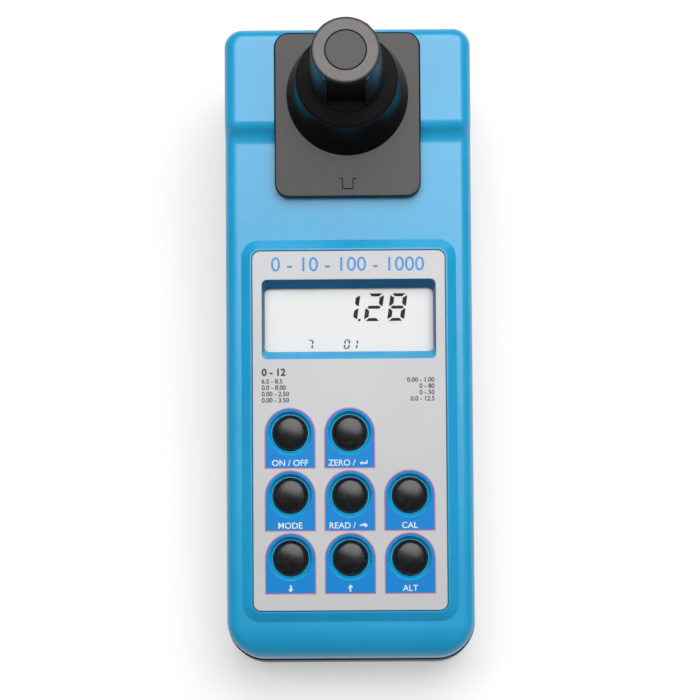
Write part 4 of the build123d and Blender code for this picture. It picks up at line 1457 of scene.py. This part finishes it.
@dataclass
class CapDress:
    """Cuvette cap with a polished knob, painted highlight lines by its flats, a grained shoulder and a satin
    top.
    """

    edge: float = 0.00025
    sharp_beyond: float = 32.0
    shoulder_r: float = 0.0162
    inset: float = 0.0001
    line_from: float = 0.0035
    line_end: float = 0.001
    line_across: Point = (0.006, 0.0081)
    line_slope: float = 0.4
    grain_rise: float = 0.0065
    grain_slope: float = 0.1
    top_depth: float = 0.000875
    top_slope: float = 0.99

    FINISHES: ClassVar[Sequence[Finishes]] = (
        Finishes.CAP, Finishes.CAP_GRAIN, Finishes.CAP_TOP, Finishes.CAP_PAINTED_HIGHLIGHT,
    )

    def _seat(self, node: bpy.types.Object) -> float:
        """Lowest height at which the cap has its full width, which is where it seats.

        Args:
            node: The CAD node of the cap.

        Returns:
            The height in metres.
        """
        spots = [vertex.co for vertex in node.data.vertices]
        middle = sum(spots, Vector()) / len(spots)
        reach = self.shoulder_r - self.inset
        return min(spot.z for spot in spots if math.hypot(spot.x - middle.x, spot.y - middle.y) > reach)

    def build(self, node: bpy.types.Object) -> None:
        """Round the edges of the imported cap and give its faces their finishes.

        Args:
            node: The CAD node of the cap.
        """
        low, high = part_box("cuvette_cap")
        axis_x = (low.x + high.x) / 2
        seat = self._seat(node)
        mesh = merged_copy(node)
        rounded = soften(mesh, self.sharp_beyond, self.edge, lambda spot: spot.z > seat - self.inset)
        bmesh.ops.recalc_face_normals(mesh, faces=mesh.faces)
        # Rounding faces beside the flats take the lighter finish: painted highlight lines.
        for face in rounded:
            spot = face.calc_center_median()
            beside_flat = self.line_across[0] < abs(spot.x - axis_x) < self.line_across[1]
            on_knob = seat + self.line_from < spot.z < high.z - self.line_end
            if beside_flat and on_knob and abs(face.normal.z) < self.line_slope:
                face.material_index = self.FINISHES.index(Finishes.CAP_PAINTED_HIGHLIGHT)
        for face in mesh.faces:
            height = face.calc_center_median().z
            if face.normal.z > self.top_slope and height > high.z - self.top_depth:
                face.material_index = self.FINISHES.index(Finishes.CAP_TOP)
            elif face.normal.z > self.grain_slope and seat < height < seat + self.grain_rise:
                face.material_index = self.FINISHES.index(Finishes.CAP_GRAIN)
        piece = hosted("screw_cap", mesh, self.FINISHES, "cap")
        even_normals(piece)
        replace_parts(piece, "cuvette_cap")


def dress_nodes(nodes: dict[str, bpy.types.Object]) -> None:
    """Give every CAD node its finish.

    Args:
        nodes: The CAD nodes by name.
    """
    for name, node in nodes.items():
        finish = NODE_FINISH.get(name)
        if finish is None:
            finish = Finishes.KEY if name.startswith("key_") else Finishes.CELL
        node.data.materials.clear()
        node.data.materials.append(finish.material())
        LOG.info("node %s: %s", name, finish.name)


@dataclass(frozen=True)
class Lamp:
    """Soft rectangular lamp, with the brightness of its face."""

    name: str
    where: Point3
    aim: Point3
    size: Point
    radiance: float
    mirrored: bool = True

    def hang(self) -> None:
        """Hang the lamp and point it at its aim."""
        light = bpy.data.lights.new(self.name, "AREA")
        light.shape = "RECTANGLE"
        light.size, light.size_y = self.size
        light.energy = self.radiance * math.pi * self.size[0] * self.size[1]
        made = bpy.data.objects.new(self.name, light)
        bpy.context.scene.collection.objects.link(made)
        made.location = self.where
        made.rotation_euler = (Vector(self.aim) - Vector(self.where)).to_track_quat("-Z", "Y").to_euler()
        made.visible_glossy = self.mirrored


@dataclass
class Studio:
    """White floor, soft light from beyond the head, and the camera over the panel."""

    face: Face
    tilt: float = 11.0
    roll: float = -0.3
    aside: float = 0.007
    aim_x: float = 0.00033
    distance: float = 0.7
    lens: float = 108.0
    sensor: float = 36.0
    floor_half: float = 4.0
    floor_share: float = 0.45
    floor_cloud_per_m: float = 1.5
    surround: Colour = (0.94, 0.97, 1.0)
    surround_strength: float = 0.17

    LAMPS: ClassVar[Sequence[Lamp]] = (
        Lamp("softbox", (0.12, 0.41, 1.13), (0.0, 0.0, 0.04), (1.0, 1.1), 4.6),
        Lamp("fill", (-0.22, 0.0, 0.42), (0.0, 0.06, 0.05), (0.16, 0.16), 3.4, mirrored=False),
        Lamp("fill", (0.22, 0.0, 0.42), (0.0, 0.06, 0.05), (0.16, 0.16), 3.4, mirrored=False),
    )

    def floor(self) -> None:
        """Lay the pale floor, which shows itself part lit and part plain white."""
        mesh = bmesh.new()
        bmesh.ops.create_grid(mesh, x_segments=1, y_segments=1, size=self.floor_half)
        data = bpy.data.meshes.new("floor")
        mesh.to_mesh(data)
        mesh.free()
        made = bpy.data.objects.new("floor", data)
        bpy.context.scene.collection.objects.link(made)
        tree = ShaderTree("floor_white")
        shade = tree.noise(tree.place(), self.floor_cloud_per_m, detail=1.0)
        colour = tree.mix(shade, srgb(247, 248, 249), srgb(250, 250, 250))
        lit = tree.node("ShaderNodeBsdfDiffuse", {}, {"Color": colour})
        plain = tree.node("ShaderNodeEmission", {}, {"Color": (1.0, 1.0, 1.0), "Strength": 1.0})
        seen = [tree.node("ShaderNodeLightPath", out=ray) for ray in ("Is Camera Ray", "Is Glossy Ray")]
        share = (seen[0] + seen[1]).ramp(0.0, 1.0) * self.floor_share
        tree.output(tree.node("ShaderNodeMixShader", {}, {0: share, 1: lit, 2: plain}))
        data.materials.append(tree.material)

    def surroundings(self) -> None:
        """Set the faint light from all round."""
        world = bpy.data.worlds.new("surround")
        world.use_nodes = True
        sky = world.node_tree.nodes["Background"]
        sky.inputs["Color"].default_value = (*self.surround, 1.0)
        sky.inputs["Strength"].default_value = self.surround_strength
        bpy.context.scene.world = world

    def camera(self) -> None:
        """Set the camera over the panel, leaning towards the tail."""
        turn = math.radians(self.tilt)
        aim = self.face.origin + Vector((self.aim_x, 0.0, 0.0))
        place = aim + Vector((self.aside, -math.sin(turn) * self.distance, math.cos(turn) * self.distance))
        data = bpy.data.cameras.new("camera")
        data.lens = self.lens
        data.sensor_width = self.sensor
        made = bpy.data.objects.new("camera", data)
        bpy.context.scene.collection.objects.link(made)
        made.location = place
        back = (place - aim).normalized()
        across = Vector((0.0, 1.0, 0.0)).cross(back).normalized()
        axes = Matrix((across, back.cross(across), back)).transposed()
        made.rotation_euler = (axes @ Matrix.Rotation(math.radians(self.roll), 3, "Z")).to_euler()
        bpy.context.scene.camera = made

    def build(self) -> None:
        """Set up the floor, the lights and the camera."""
        self.floor()
        for lamp in self.LAMPS:
            lamp.hang()
        self.surroundings()
        self.camera()
        scene = bpy.context.scene
        scene.view_settings.view_transform = "Standard"
        scene.view_settings.look = "None"


def main() -> None:
    """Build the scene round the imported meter."""
    logging.basicConfig(level=logging.INFO, format="%(message)s")
    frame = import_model()
    dress_nodes(frame["nodes"])
    face = Face.of_sheet()
    layout = Layout()
    letters = Lettering()
    KeyPrint(face, layout, letters).build()
    SheetPrint(face, letters).build()
    KeyWells(face, layout).build()
    display = Display(face)
    display.glass(frame["nodes"]["lcd_glass"])
    display.reading()
    Mouth(face).build()
    EdgeLines(face).build()
    PlateArrow(face).build()
    CapDress().build(frame["nodes"]["cuvette_cap"])
    Studio(face).build()


if __name__ == "__main__":
    main()
